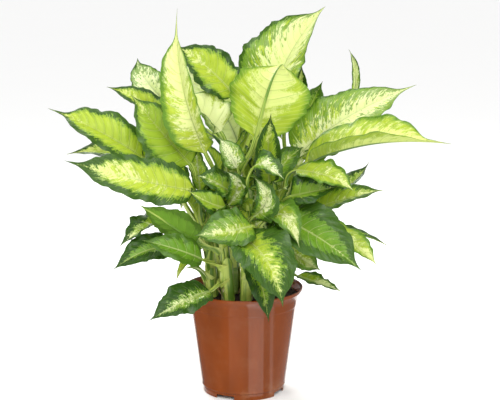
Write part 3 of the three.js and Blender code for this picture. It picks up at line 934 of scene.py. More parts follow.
def margin_waves(at, side, chance):
    """Ripples up and down, and cuts inwards, along both margins."""
    phase = [chance.uniform(0, 2 * np.pi) for _ in range(8)]
    turns = chance.uniform(1.6, 2.6)

    def waves(often, finer, share, first, second):
        broad = np.sin(2 * np.pi * turns * often * at + first)
        return broad + share * np.sin(2 * np.pi * turns * finer * at + second)

    ripple = [waves(1, 2.7, 0.55, phase[k], phase[k + 2]) for k in (0, 1)]
    cuts = [waves(1.9, 5.1, 0.6, phase[k + 4], phase[k + 6]) for k in (0, 1)]
    return np.where(side >= 0, *ripple), np.where(side >= 0, *cuts)


def dents(at, signed, often, wide, shift):
    """Uneven height from -1 to 1 over a blade, with dents often along it and wide across it."""
    height = np.vectorize(lambda a, b: noise.noise((a * often, b * wide, shift)))
    return height(at, signed)


def leaf_grid(bones, wrap, settings, marking, name):
    """Upper and lower skin of a leaf as grids of points, with each point's place on the leaf."""
    chance = random.Random(name)
    veins = max(LEAST_VEINS, round(bones.length / settings.vein_step))
    side, rib_share, blade_share = leaf_columns().T
    on_blade = blade_share > 0
    row = leaf_rows(veins)[:, None]
    blade = row >= 0

    # Rows of the blade run along the side veins, which sweep forward to the margin.
    widest = np.linalg.norm(bones.right, axis=1).max()
    sweep = np.clip(0.9 * widest / bones.length, *VEIN_SWEEP)
    sweep = sweep * np.sin(np.pi * np.clip(row, 0, 1))
    at = row + sweep * blade_share**1.25 * blade
    rest = np.broadcast_to(row, at.shape)
    reach = np.where(at < 0, at * bones.stalk, at)

    slim = blade_slimness(at, marking)[..., None]
    half_right = leaf_half(bones, bones.right, reach) * slim
    half_left = leaf_half(bones, bones.left, reach) * slim
    half = np.where(side[None, :, None] >= 0, half_right, half_left)
    width = np.linalg.norm(half, axis=-1)
    line = curve(bones.stops, bones.line, reach)
    up = unit(curve(bones.stops, bones.up, reach))
    level = np.where(rest < 0, rest * bones.stalk, rest)
    depth = np.interp(level, bones.stops, bones.depth[:, 0])
    rib = rib_radius(bones, row)
    rib_part = np.minimum(rib / np.maximum(width, 1e-6), 0.8)
    beyond_rib = rib_part + (1 - rib_part) * blade_share
    across = np.where(on_blade, beyond_rib, rib_part * rib_share)

    # Margins ripple, the halves arch a little, and the blade rises between its veins.
    ripple, cuts = margin_waves(at, side, chance)
    inside = np.sin(np.pi * np.clip(at, 0, 1)) ** 0.6
    wave = settings.wave * marking.wave * ripple * blade_share**2.2 * inside
    camber = settings.camber * 4 * blade_share * (1 - blade_share * 0.82)
    between = np.abs(np.sin(np.pi * row * veins)) ** 1.1 - 0.5
    crown = np.sin(np.pi * np.clip(blade_share * 0.88 + 0.1, 0, 1)) * on_blade
    quilt = settings.quilt * between * crown * smooth(width, *QUILT_GROWS) * blade
    groove = -0.35 * rib * (1 - rib_share**2) ** 2 * ~on_blade
    signed = np.broadcast_to(blade_share * side, at.shape)
    shift = chance.uniform(0, 90)
    pucker = settings.pucker * dents(at, signed, 7, 2.6, shift)
    pucker = pucker * np.sqrt(blade_share) * smooth(width, *PUCKER_GROWS) * blade
    lift = (wave + camber) * width * blade + quilt + pucker + groove
    notches = 0.09 * dents(at, signed, 26, 1.5, shift + 7) * blade_share**3
    spread = 1 + (0.025 * marking.wave * cuts + notches) * blade_share * blade
    upper = line + half * (across * spread)[..., None] + up * lift[..., None]

    # At its foot the stalk opens into a sheath that wraps its cane.
    out = unit(half_right)
    opening = np.arcsin(np.clip(rib / wrap, 0, 0.9))
    closing = LEAST_WING + SHEATH_WRAP * np.clip(1 - (rest + 1) / SHEATH_LENGTH, 0, 1) ** 1.3
    angle = opening + closing * blade_share
    sideways = np.where(on_blade, wrap * np.sin(angle), rib * rib_share)
    rise = np.sqrt(wrap**2 - np.minimum(rib, 0.9 * wrap) ** 2) - wrap * np.cos(angle)
    rise = np.where(on_blade, rise + 0.15 * rib, groove + 0.15 * rib * rib_share)
    wing = line + out * (sideways * side)[..., None] + up * rise[..., None]
    opened = smooth(row, SHEATH_END, 0.0)[..., None]
    upper = np.where(blade[..., None], upper, wing * (1 - opened) + upper * opened)

    # Lower skin: the blade's thickness, its raised veins, and the round back of stalk and rib.
    normal = unit(np.cross(np.gradient(upper, axis=1), np.gradient(upper, axis=0)))
    if (normal * up).sum() < 0:
        normal = -normal
    thick = settings.blade * (1 - 0.55 * blade_share) * smooth(width, *THICKNESS_GROWS)
    thick = thick + LEAST_THICKNESS
    belly = depth * np.sqrt(np.clip(1 - rib_share**2, 0, 1)) * ~on_blade
    veined = VEIN_HEIGHT * smooth(np.abs(((row * veins + 0.5) % 1) - 0.5), 0.18, 0.0) * blade
    veined = veined * (1 - blade_share) * on_blade * smooth(width, *VEIN_GROWS)
    lower = upper - normal * (thick + veined)[..., None] - up * belly[..., None]

    distance = np.where(on_blade, across * width / rib, rib_share)
    place = np.stack([across * np.sign(side + 1e-9), rest, distance], -1)
    return veins, upper, lower, place


def rib_radius(bones, row):
    """Half width of the stalk, and of the rib as it thins out towards the tip."""
    reach = np.where(row < 0, row * bones.stalk, row)
    half = np.linalg.norm(leaf_half(bones, bones.right, reach), axis=-1)
    stalk = np.linalg.norm(bones.right[STALK_RINGS - 1])
    rib = stalk * 0.8 * (1 - np.clip(row, 0, 1)) ** 1.1 + 0.35 * MM
    return np.where(row < 0, half * 0.85, np.minimum(rib, half * 0.8 + 0.05 * MM))


def closed_skin(upper, lower, tip):
    """Faces of a thin solid between two grids, closed at the margins and foot, and at a tip."""
    rows, columns = upper.shape[:2]
    top = np.arange(rows * columns).reshape(rows, columns)
    bottom = top + rows * columns
    end = 2 * rows * columns
    points = np.vstack([upper.reshape(-1, 3), lower.reshape(-1, 3), tip])
    a, b, c, d = top[:-1, :-1], top[:-1, 1:], top[1:, 1:], top[1:, :-1]
    top_faces = np.stack([a, b, c, d], -1).reshape(-1, 4)
    e, f, g, h = bottom[:-1, :-1], bottom[1:, :-1], bottom[1:, 1:], bottom[:-1, 1:]
    bottom_faces = np.stack([e, f, g, h], -1).reshape(-1, 4)
    edges = []
    for k in range(rows - 1):
        edges.append((top[k, 0], top[k + 1, 0], bottom[k + 1, 0], bottom[k, 0]))
        edges.append((top[k, -1], bottom[k, -1], bottom[k + 1, -1], top[k + 1, -1]))
    for k in range(columns - 1):
        edges.append((top[0, k], bottom[0, k], bottom[0, k + 1], top[0, k + 1]))
        edges.append((top[-1, k], top[-1, k + 1], end))
        edges.append((bottom[-1, k + 1], bottom[-1, k], end))
    edges.append((top[-1, 0], end, bottom[-1, 0]))
    edges.append((top[-1, -1], bottom[-1, -1], end))
    return points, top_faces, bottom_faces, edges


# Places of a leaf's materials in its list
UPPER, UNDER, STALK = range(3)


def leaf_finishes(settings):
    """Finish of a leaf's upper face, its lower face, and its stalk and rib."""
    return [
        blade_finish("leaf_upper", settings, UPPER_FACE),
        blade_finish("leaf_under", settings, LOWER_FACE),
        stalk_finish(settings),
    ]


def build_leaf(name, bones, wrap, marking, settings, materials):
    """Mesh of a leaf, which carries each point's place on the leaf and the leaf's marking."""
    veins, upper, lower, place = leaf_grid(bones, wrap, settings, marking, name)
    points, top, bottom, edges = closed_skin(upper, lower, bones.line[-1])
    rows, columns = upper.shape[:2]
    count = rows * columns

    tip_place = np.array([[0.0, 1.0, 0.0]])
    places = np.vstack([place.reshape(-1, 3), place.reshape(-1, 3), tip_place])
    to_right = smooth(places[:, 0], -0.08, 0.08)
    along = np.clip(places[:, 1], 0, 1)
    border = marking.left + (marking.right - marking.left) * to_right
    border = border * (0.75 + 0.35 * along**2) + marking.tip * smooth(along, 0.55, 0.97)
    marks = np.stack(
        [border, np.full_like(border, marking.cream), np.full_like(border, marking.fleck)], -1
    )
    seed = random.Random(name + "_seed").uniform(0, 80)
    habit = np.tile([seed, veins, marking.deep], (len(points), 1))
    tone = np.tile([marking.edge, marking.white, marking.soft], (len(points), 1))

    def is_stalk(face):
        return places[face, 1].max() <= 1e-6

    def under_rib(face):
        column = face[face < 2 * count] % columns
        return column.min() >= BLADE_COLUMNS and column.max() < columns - BLADE_COLUMNS

    kinds = [STALK if is_stalk(face) else UPPER for face in top]
    kinds += [STALK if is_stalk(face) or under_rib(face) else UNDER for face in bottom]
    kinds += [STALK if is_stalk(np.array(face)) else UNDER for face in edges]
    faces = [*top.tolist(), *bottom.tolist(), *edges]
    vectors = {
        "leaf_place": places, "leaf_marking": marks, "leaf_habit": habit, "leaf_tone": tone,
    }
    return make_mesh(name, points, faces, materials, kinds, vectors, sharp=50)


def cane_letter(leaf):
    """Letter of the cane that bears a leaf."""
    return leaf[len("leaf_")]


def make_leaf(node, settings, materials):
    """Leaf that stands for a node. Its sheath lies outside those of its cane's higher leaves."""
    letter = cane_letter(node)
    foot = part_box(node)[0].z
    bones = leaf_bones(node)
    _, _, radius = cane_at(CANES[letter], bones.line[0][2])
    higher = sum(cane_letter(leaf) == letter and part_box(leaf)[0].z > foot for leaf in LEAVES)
    wrap = radius + (0.9 + 0.35 * higher) * MM
    name = node.replace("leaf", "blade")
    piece = build_leaf(name, bones, wrap, MARKINGS[node], settings, materials)
    return place_piece(piece, "leaf_variegated", node)


# A young leaf's lean at its foot and greatest twist, in degrees, and its gap to the cane
YOUNG_START = 4
YOUNG_TWIST = 60
YOUNG_GAP = 0.8 * MM
# Rings along the stalk and the blade, and the blade's width at each as a share of its greatest
STALK_STOPS = (-1, -0.75, -0.5, -0.25)
BLADE_STOPS = (0, 0.05, 0.12, 0.24, 0.37, 0.51, 0.65, 0.79, 0.89, 0.95, 1)
BLADE_WIDTHS = (0.09, 0.4, 0.68, 0.92, 1, 0.96, 0.79, 0.48, 0.2, 0.07, 0.0)


def young_bones(young):
    """Line and halves of a young leaf that leaves its cane upright and then bends outwards."""
    height = young.height * MM
    x, y, radius = cane_at(CANES[young.cane], height)
    stalk, blade = young.stalk * MM, young.blade * MM
    stops = np.array([*STALK_STOPS, *BLADE_STOPS])
    run = np.where(stops < 0, (stops + 1) * stalk, stalk + stops * blade)
    turn = math.radians(young.turn)
    out = np.array([math.cos(turn), math.sin(turn), 0])
    rise = np.array([0, 0, 1.0])
    bend = YOUNG_START + young.lean * 1.6 * (run / run[-1]) ** 1.4
    lean = np.radians(bend)[:, None]
    along = np.cos(lean) * rise + np.sin(lean) * out
    up = np.sin(lean) * rise - np.cos(lean) * out
    twist = math.radians(random.Random(str(young)).uniform(-YOUNG_TWIST, YOUNG_TWIST))
    twist = (twist * np.clip(stops, 0, 1) ** 1.3)[:, None]
    steps = np.diff(run)[:, None] * (along[1:] + along[:-1]) / 2
    start = np.array([x, y, height]) + out * (radius + YOUNG_GAP)
    line = start + np.vstack([np.zeros(3), steps.cumsum(0)])
    right = np.cross(along, up)
    right, up = (
        np.cos(twist) * right + np.sin(twist) * up, np.cos(twist) * up - np.sin(twist) * right
    )
    thick = 1.8 * MM + 0.018 * young.width * MM
    share = np.clip(stops + 1, 0, 1)
    widths = np.interp(stops, BLADE_STOPS, BLADE_WIDTHS) * young.width / 2 * MM
    half = np.where(stops < 0, thick * (1.25 - 0.35 * share), widths)[:, None]
    fold = np.where(stops < 0, 0, np.radians(young.fold))[:, None]
    right_half = half * (np.cos(fold) * right + np.sin(fold) * up)
    left_half = half * (np.sin(fold) * up - np.cos(fold) * right)
    belly = 1.6 * MM * (1 - np.clip(stops, 0, 1)) + 0.5 * MM
    depth = np.where(stops < 0, thick * (1.35 - 0.4 * share), belly)[:, None]
    ratio = stalk / blade
    stops = np.where(stops < 0, stops * ratio, stops)
    return Bones(stops, line, right_half, left_half, up, depth, blade, ratio), radius


def make_young_leaf(number, young, settings, materials):
    """Small leaf in the middle of the plant."""
    chance = random.Random(number)
    edge = chance.uniform(0.2, 0.56) * (1 - 0.7 * young.pale)
    marking = Marking(
        edge, edge * chance.uniform(0.7, 1.3), 0.3,
        chance.choice((0.1, 0.3, 0.55)) + 0.5 * young.pale,
        chance.uniform(0.8, 3), chance.uniform(0.05, 0.45) * (1 - young.pale),
        chance.uniform(1.5, 3), chance.uniform(0.5, 1), chance.uniform(0.2, 1), 0.0,
        chance.uniform(0, 0.6),
    )
    bones, radius = young_bones(young)
    name = f"young_leaf_{number:02d}"
    piece = build_leaf(name, bones, radius + 1.1 * MM, marking, settings, materials)
    return place_piece(piece, "leaf_variegated")


def add_sheet(points, faces, grid, thick, tip):
    """Adds a thin sheet, from the grid of its outer face and its tip, to points and faces."""
    normal = unit(np.cross(np.gradient(grid, axis=1), np.gradient(grid, axis=0)))
    sheet, top, bottom, edges = closed_skin(grid, grid - normal * thick, tip)
    shift = len(points)
    points += [tuple(p) for p in sheet]
    for face in [*top.tolist(), *bottom.tolist(), *edges]:
        faces.append(tuple(k + shift for k in face))


# Height at which the canes come out of the soil
SOIL_LEVEL = 0.15

# Green sheaths round a cane: the lowest one's foot, their gap to the cane and to its tip, how
# many lie over each other at the foot, and the thickness of a sheath and of each layer
SHEATH_GRID = (22, 15)
SHEATH_FOOT = 0.143
SHEATH_GAP = 0.35 * MM
SHEATH_TOP_GAP = 0.045
SHEATH_LAYERS = 4
SHEATH_THICKNESS = 0.3 * MM
LAYER_THICKNESS = 0.4 * MM


def make_sheaths(letter, skin):
    """Old leaf sheaths that wrap a cane, one inside the other, with their tips standing off."""
    cane = CANES[letter]
    chance = random.Random("sheath_" + letter)
    rows, columns = SHEATH_GRID
    points, faces, places = [], [], []
    seed = chance.uniform(0, 80)
    foot = SHEATH_FOOT
    layer = SHEATH_LAYERS
    facing = chance.uniform(0, 360)
    while foot < cane[-1, 0] - SHEATH_TOP_GAP:
        tall = chance.uniform(0.045, 0.085)
        facing += chance.uniform(130, 230)
        wide = chance.uniform(1.7, 2.3)
        open_tip = chance.uniform(1.5, 4.5) * MM
        grid = []
        for i in range(rows):
            t = i / (rows - 1)
            z = foot + tall * t
            x, y, radius = cane_at(cane, z)
            reach = radius + SHEATH_GAP + layer * LAYER_THICKNESS + open_tip * t**3
            narrow = wide * (1 - t**2.2) ** 0.7 + 0.04
            for j in range(columns):
                s = 2 * j / (columns - 1) - 1
                angle = math.radians(facing) + s * narrow
                r = reach + 0.5 * MM * abs(s) ** 4 + 0.12 * MM * math.cos(9 * s + 3)
                grid.append((x + r * math.cos(angle), y + r * math.sin(angle), z))
                places.append((s, t - 1, 1.0))
        places += places[-rows * columns:]
        places.append((0.0, 0.0, 1.0))
        grid = np.array(grid).reshape(rows, columns, 3)
        tip = grid[-1, columns // 2] * 1.6 - grid[-2, columns // 2] * 0.6
        add_sheet(points, faces, grid, SHEATH_THICKNESS, tip)
        foot += tall * chance.uniform(0.35, 0.6)
        layer = max(0, layer - 1)
    habit = np.tile([seed, 1.0, 0.0], (len(points), 1))
    vectors = {"leaf_place": np.array(places), "leaf_habit": habit}
    sheaths = make_mesh("sheaths_" + letter, points, faces, [skin], vectors=vectors)
    return place_piece(sheaths, "stem_green")


# Skin of a cane: points round it, the height between its rings, and its least radius
CANE_SIDES = 28
CANE_STEP = 1.6 * MM
CANE_LEAST = 0.5 * MM
# Scars of dropped leaves: least and greatest gap between two in millimetres, the gap to the
# cane's tip, and their swelling, half height and tilt
SCAR_GAPS = (14, 30)
SCAR_TOP_GAP = 0.02
SCAR_SWELL = 0.35 * MM
SCAR_HEIGHT = 1.1 * MM
SCAR_TILT = 1.2 * MM


def make_cane(node, skin):
    """Cane with swollen rings where leaves were, from under the soil to its growing tip."""
    cane = CANES[node[-1]]
    low, high = cane[0, 0], cane[-1, 0]
    chance = random.Random(node)
    scars = []
    height = SOIL_LEVEL
    while height < high - SCAR_TOP_GAP:
        scars.append(height)
        height += chance.uniform(*SCAR_GAPS) * MM
    levels = np.arange(low, high - 0.2 * MM, CANE_STEP)
    turn = np.linspace(0, 2 * np.pi, CANE_SIDES, endpoint=False)
    tilt = chance.uniform(0, 2 * np.pi)
    points, places = [], []
    for z in levels:
        x, y, radius = cane_at(cane, z)
        radius = max(radius, CANE_LEAST)
        scar = np.zeros(CANE_SIDES)
        for mark in scars:
            ring_height = mark + SCAR_TILT * np.cos(turn - tilt)
            scar = np.maximum(scar, np.exp(-(((z - ring_height) / SCAR_HEIGHT) ** 2)))
        ridge = 0.15 * MM * np.cos(7 * turn + 40 * z) + 0.1 * MM * np.cos(11 * turn - 25 * z)
        reach = radius - SCAR_SWELL * (1 - scar) + ridge * min(1, radius / (3 * MM))
        points += [(x + r * np.cos(a), y + r * np.sin(a), z) for r, a in zip(reach, turn)]
        places += [(np.cos(a), z, s) for s, a in zip(scar, turn)]
    faces = tube_faces(len(levels), CANE_SIDES)
    faces.append(tuple(range(CANE_SIDES - 1, -1, -1)))
    tip = len(points)
    points.append((cane[-1, 1], cane[-1, 2], high))
    places.append((0, high, 0))
    last = (len(levels) - 1) * CANE_SIDES
    faces += [(last + k, last + (k + 1) % CANE_SIDES, tip) for k in range(CANE_SIDES)]
    name = node.replace("stem", "cane")
    piece = make_mesh(name, points, faces, [skin], vectors={"cane_place": places}, sharp=60)
    return place_piece(piece, "stem_green", node)


# Withered sheaths: how many at the foot of each cane, their foot just in the soil, their gap to
# the cane, and thickness
DRY_GRID = (12, 9)
DRY_COUNT = 3
DRY_FOOT = 0.1445
DRY_GAP = 1 * MM
DRY_THICKNESS = 0.25 * MM


def make_dry_sheaths(skin):
    """Withered sheaths of dropped leaves, curled round the feet of the canes."""
    chance = random.Random(11)
    points, faces = [], []
    rows, columns = DRY_GRID
    for cane in [cane for cane in CANES.values() for _ in range(DRY_COUNT)]:
        x, y, radius = cane_at(cane, SOIL_LEVEL)
        facing = chance.uniform(0, 2 * np.pi)
        height = chance.uniform(10, 26) * MM
        spread = chance.uniform(0.5, 1.1)
        lean = chance.uniform(0.1, 0.55)
        phase = chance.uniform(0, 6)
        foot = DRY_FOOT - chance.uniform(0, 1.5) * MM
        grid = []
        for i in range(rows):
            t = i / (rows - 1)
            reach = radius + DRY_GAP + lean * height * t**2
            narrow = spread * (1 - 0.75 * t**1.5)
            for j in range(columns):
                s = 2 * j / (columns - 1) - 1
                crinkle = 0.7 * MM * np.sin(9 * t + 5 * s + phase) * t
                angle = facing + s * narrow
                r = reach + crinkle + 0.8 * MM * s * s
                z = foot + height * (t - 0.12 * s * s * t)
                grid.append((x + r * np.cos(angle), y + r * np.sin(angle), z))
        grid = np.array(grid).reshape(rows, columns, 3)
        end, before = grid[-1].mean(0), grid[-2].mean(0)
        add_sheet(points, faces, grid, DRY_THICKNESS, end + (end - before) * 1.5)
    return place_piece(make_mesh("dry_sheaths", points, faces, [skin]), "stem_green")


# Pot: the same outline as its node, as (radius, height) in millimetres
POT_OUTSIDE = [
    (18, 0), (19.5, 8), (56.5, 8), (56.5, 0), (58, 0), (58, 9.4), (59.8, 10), (60.2, 10.8),
    (60.3, 11.8), (60.1, 13.6), (75.46, 126.4), (76.2, 127.4), (77.6, 138), (79, 141.4),
    (81.2, 145), (84, 148.4), (85, 151.4), (84.7, 152.6), (84.1, 153),
]
POT_INSIDE = [
    (83.5, 152.4), (82.6, 149), (80, 146), (77.5, 142.4), (76.1, 138), (74.56, 128), (73.96, 127),
    (58.1, 9.6), (18, 9.6), (16.5, 1.5),
]
# Foot and top of the straight wall
POT_WALL = [(59.6, 10), (75.46, 126.4)]
POT_SIDES = 192
# Size of the pot's rounded corners, and the angle in degrees over which an edge stays sharp
POT_CORNER = 0.7
POT_SHARP = 35
# Notches in the skirt's foot: the first one's direction in degrees, their number, width, depth
# and height, the radius of their middle, and their corners
NOTCH_TURN = 243
NOTCH_COUNT = 4
NOTCH_SIZE = (28, 12, 12)
NOTCH_MIDDLE = 55
NOTCH_CORNER = 2.5
# Drain holes in a circle, cut from under the floor to over it
DRAIN_COUNT = 8
DRAIN_RADIUS = 5
DRAIN_CIRCLE = 38
DRAIN_HEIGHTS = (4, 12)
DRAIN_SIDES = 32


def rounded(outline, radius):
    """The outline with each corner cut to a short arc."""
    result = [outline[0]]
    for before, here, after in zip(outline, outline[1:], outline[2:]):
        here = np.array(here, float)
        into = np.array(before, float) - here
        away = np.array(after, float) - here
        near = min(radius, np.linalg.norm(into) * 0.4, np.linalg.norm(away) * 0.4)
        a = here + into / np.linalg.norm(into) * near
        b = here + away / np.linalg.norm(away) * near
        for t in (0, 0.33, 0.67, 1):
            result.append(tuple((1 - t) ** 2 * a + 2 * t * (1 - t) * here + t**2 * b))
    return [*result, outline[-1]]


def turned(name, outline, sides, materials, centre=(0, 0)):
    """Solid turned from (radius, height) in millimetres, closed on its upright axis."""
    x, y = (c * MM for c in centre)
    points = []
    turn = np.linspace(0, 2 * np.pi, sides, endpoint=False)
    for radius, height in outline:
        reach = radius * MM
        points += [(x + reach * np.cos(a), y + reach * np.sin(a), height * MM) for a in turn]
    faces = tube_faces(len(outline), sides)
    first, last = len(points), len(points) + 1
    points += [(x, y, outline[0][1] * MM), (x, y, outline[-1][1] * MM)]
    top = (len(outline) - 1) * sides
    for k in range(sides):
        faces.append((first, (k + 1) % sides, k))
        faces.append((last, top + k, top + (k + 1) % sides))
    return make_mesh(name, points, faces, materials, sharp=POT_SHARP)


def cut_away(piece, cutters):
    """Cuts the cutters out of the piece, and removes them."""
    bpy.context.view_layer.objects.active = piece
    for cutter in cutters:
        modifier = piece.modifiers.new("cut", "BOOLEAN")
        modifier.operation = "DIFFERENCE"
        modifier.solver = "EXACT"
        modifier.object = cutter
        bpy.ops.object.modifier_apply(modifier=modifier.name)
        bpy.data.objects.remove(cutter)
    piece.data.set_sharp_from_angle(angle=math.radians(POT_SHARP))


def notch_cutter(degrees):
    """Block with rounded upper corners that cuts one notch into the foot of the skirt."""
    wide, deep, high = (size / 2 * MM for size in NOTCH_SIZE)
    corners = [(wide, -high), (wide, high), (-wide, high), (-wide, -high)]
    outline = rounded(corners, NOTCH_CORNER * MM)
    turn = math.radians(degrees)
    out = Vector((math.cos(turn), math.sin(turn), 0))
    along = Vector((-math.sin(turn), math.cos(turn), 0))
    points = []
    for reach in (NOTCH_MIDDLE * MM - deep, NOTCH_MIDDLE * MM + deep):
        points += [out * reach + along * x + Vector((0, 0, z)) for x, z in outline]
    count = len(outline)
    faces = [tuple(range(count - 1, -1, -1)), tuple(range(count, 2 * count))]
    for k in range(count):
        n = (k + 1) % count
        faces.append((k, n, n + count, k + count))
    return make_mesh("notch", points, faces, [])


def make_pot(settings):
    """Pot with its stepped wall, flared lip, skirt with notches and drained floor."""
    outline = rounded([*POT_OUTSIDE, *POT_INSIDE], POT_CORNER)
    pot = turned("growers_pot", outline, POT_SIDES, [plastic_finish(settings)])
    cutters = [notch_cutter(NOTCH_TURN + 360 / NOTCH_COUNT * k) for k in range(NOTCH_COUNT)]
    for k in range(DRAIN_COUNT):
        turn = (k + 0.5) / DRAIN_COUNT * 2 * math.pi
        centre = (DRAIN_CIRCLE * math.cos(turn), DRAIN_CIRCLE * math.sin(turn))
        drain = [(DRAIN_RADIUS, height) for height in DRAIN_HEIGHTS]
        cutters.append(turned("drain", drain, DRAIN_SIDES, [], centre))
    cut_away(pot, cutters)
    return place_piece(pot, "pot_plastic", "pot")


# Soil: its outline below the top edge, and its top as (radius, height), in millimetres
SOIL_SIDE = [(16.2, 1.8), (17.7, 9.9), (57.8, 9.9), (73.6, 127), (75.6, 138), (75.8, 142.5)]
SOIL_TOP = [(0, 146), (18, 146), (38, 145), (60, 144), (75.8, 142.5)]
SOIL_SIDES = 200
SOIL_STEP = 1.3
# Loose lumps: their sizes, and the gap between them and the soil's edge, in millimetres
LUMP_SIZES = (0.7, 0.9, 1.2, 1.2, 1.7, 2.3)
LUMP_GAP = 4
# Least and greatest stretch of a lump, lengthwise, sideways and upwards
LUMP_STRETCH = ((0.8, 1.6), (0.6, 1.0), (0.5, 0.8))


def soil_height(x, y, settings):
    """Height of the crumbly top of the soil at a place, in metres."""
    radius = math.hypot(x, y)
    radii, heights = zip(*SOIL_TOP)
    level = np.interp(radius / MM, radii, heights) * MM
    clods = noise.fractal(Vector((x, y, 0)) * 110, 0.9, 2.0, 5)
    grain = noise.noise(Vector((x, y, 0.3)) * 520)
    inside = 1 - smooth(radius, 70 * MM, 75.6 * MM)
    return level + settings.roughness * (clods + 0.35 * grain) * (0.25 + 0.75 * inside)


def make_soil(settings):
    """Body of soil with an uneven top and loose lumps lying on it."""
    chance = random.Random(5)
    turn = np.linspace(0, 2 * np.pi, SOIL_SIDES, endpoint=False)
    edge = SOIL_SIDE[-1][0]
    points = [(0, 0, SOIL_SIDE[0][1] * MM)]
    for radius, height in SOIL_SIDE[:-1]:
        points += [(radius * MM * np.cos(a), radius * MM * np.sin(a), height * MM) for a in turn]
    radii = np.arange(edge, SOIL_STEP / 2, -SOIL_STEP)
    for radius in radii * MM:
        for a in turn:
            x, y = radius * np.cos(a), radius * np.sin(a)
            points.append((x, y, soil_height(x, y, settings)))
    points.append((0, 0, soil_height(0, 0, settings)))
    rings = len(SOIL_SIDE) - 1 + len(radii)
    faces = []
    for k in range(SOIL_SIDES):
        n = (k + 1) % SOIL_SIDES
        faces.append((0, 1 + n, 1 + k))
        for i in range(rings - 1):
            a, b = 1 + i * SOIL_SIDES + k, 1 + i * SOIL_SIDES + n
            faces.append((a, b, b + SOIL_SIDES, a + SOIL_SIDES))
        last = 1 + (rings - 1) * SOIL_SIDES
        faces.append((last + k, last + n, len(points) - 1))

    ball = bmesh.new()
    bmesh.ops.create_icosphere(ball, subdivisions=2, radius=1)
    corners = [v.co.copy() for v in ball.verts]
    sides = [tuple(v.index for v in face.verts) for face in ball.faces]
    ball.free()
    for _ in range(settings.lumps):
        radius = (edge - LUMP_GAP) * MM * math.sqrt(chance.random())
        angle = chance.uniform(0, 2 * math.pi)
        x, y = radius * math.cos(angle), radius * math.sin(angle)
        size = chance.choice(LUMP_SIZES) * MM
        stretch = Vector(chance.uniform(*limits) for limits in LUMP_STRETCH)
        middle = Vector((x, y, soil_height(x, y, settings) + size * 0.1))
        spin = Matrix.Rotation(chance.uniform(0, math.pi), 3, "Z")
        tilt = Matrix.Rotation(chance.uniform(-0.5, 0.5), 3, "X")
        start = len(points)
        for corner in corners:
            dent = 1 + 0.45 * noise.noise(corner * 1.7 + middle * 4000)
            shape = Vector(c * s * dent * size for c, s in zip(corner, stretch))
            points.append(tuple(middle + spin @ tilt @ shape))
        faces += [tuple(k + start for k in side) for side in sides]
    soil = make_mesh("potting_soil", points, faces, [soil_finish(settings)], sharp=70)
    return place_piece(soil, "potting_soil", "soil")


# ---------------------------------------------------------------------------
# Stage

# Camera: its place, how far it looks down in degrees, and the sensor's width in millimetres
CAMERA_PLACE = (0.0093, -2.0, 0.674)
CAMERA_PITCH = 11.2
SENSOR_WIDTH = 36
# Sun: its strength, and its width, tilt from straight down and turn in degrees
SUN_STRENGTH = 1.62
SUN_WIDTH = 36
SUN_TILT = 46
SUN_TURN = 12
ROOM_LIGHT = 0.7
PLANT_MIDDLE = (0, 0, 0.3)
# Lamps aimed at the plant: name, place, size, power, and whether glossy surfaces mirror it
LAMPS = [
    ("key_lamp", (0.5, -2.4, 1.2), (0.8, 1.2), 15, True),
    ("side_lamp", (-1.5, -1.3, 1.4), (0.8, 1.2), 10, False),
    ("top_lamp", (-0.2, 0.1, 1.9), (1.0, 0.8), 12, True),
    ("back_lamp", (-0.5, 1.2, 1.3), (0.9, 0.6), 24, True),
]
# Cards mirrored by the pot: name, left and right edge on the pot as seen from the front, in
# millimetres, and shine at each edge
CARDS = [
    ("wide_card", 7, 28, 3.1, 3.1),
    ("thin_card", 37, 41, 2.4, 2.4),
    ("left_card", -76, -20, 0.05, 0.7),
    ("right_card", 43, 76, 0.8, 0.3),
]
CARD_HEIGHT = 2 * MM
CARD_STEP = 3 * MM
# Lowest and highest place on the pot that a card covers, in millimetres, and its rows
CARD_COVERS = (4, 150, 24)
# How far round the pot a card may go, as a share of the pot's radius
CARD_REACH = 0.96
# Radii of the floor's rings in metres
FLOOR_RINGS = (0.15, 0.4, 1, 2.5, 6, 16, 80)
FLOOR_SIDES = 96


def make_floor(settings):
    """Wide round floor, finer under the plant."""
    points = [(0, 0, 0)]
    faces = []
    for radius in FLOOR_RINGS:
        for k in range(FLOOR_SIDES):
            a = 2 * math.pi * k / FLOOR_SIDES
            points.append((radius * math.cos(a), radius * math.sin(a), 0))
    for k in range(FLOOR_SIDES):
        n = (k + 1) % FLOOR_SIDES
        faces.append((0, 1 + k, 1 + n))
        for i in range(len(FLOOR_RINGS) - 1):
            a, b = 1 + i * FLOOR_SIDES + k, 1 + i * FLOOR_SIDES + n
            faces.append((a, a + FLOOR_SIDES, b + FLOOR_SIDES, b))
    floor = make_mesh("floor", points, faces, [floor_finish(settings.floor)])
    floor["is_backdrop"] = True


def add_holder(name, data, place=(0, 0, 0), turn=(0, 0, 0)):
    """Object that holds a lamp or camera in the scene."""
    holder = bpy.data.objects.new(name, data)
    holder.location = place
    holder.rotation_euler = turn
    bpy.context.scene.collection.objects.link(holder)
    return holder


def add_lamp(name, place, size, power, glossy):
    """Soft lamp aimed at the plant."""
    lamp = bpy.data.lights.new(name, "AREA")
    lamp.shape = "RECTANGLE"
    lamp.size, lamp.size_y = size
    lamp.energy = power
    aim = Vector(PLANT_MIDDLE) - Vector(place)
    holder = add_holder(name, lamp, place, aim.to_track_quat("-Z", "Y").to_euler())
    holder.visible_camera = False
    holder.visible_glossy = glossy


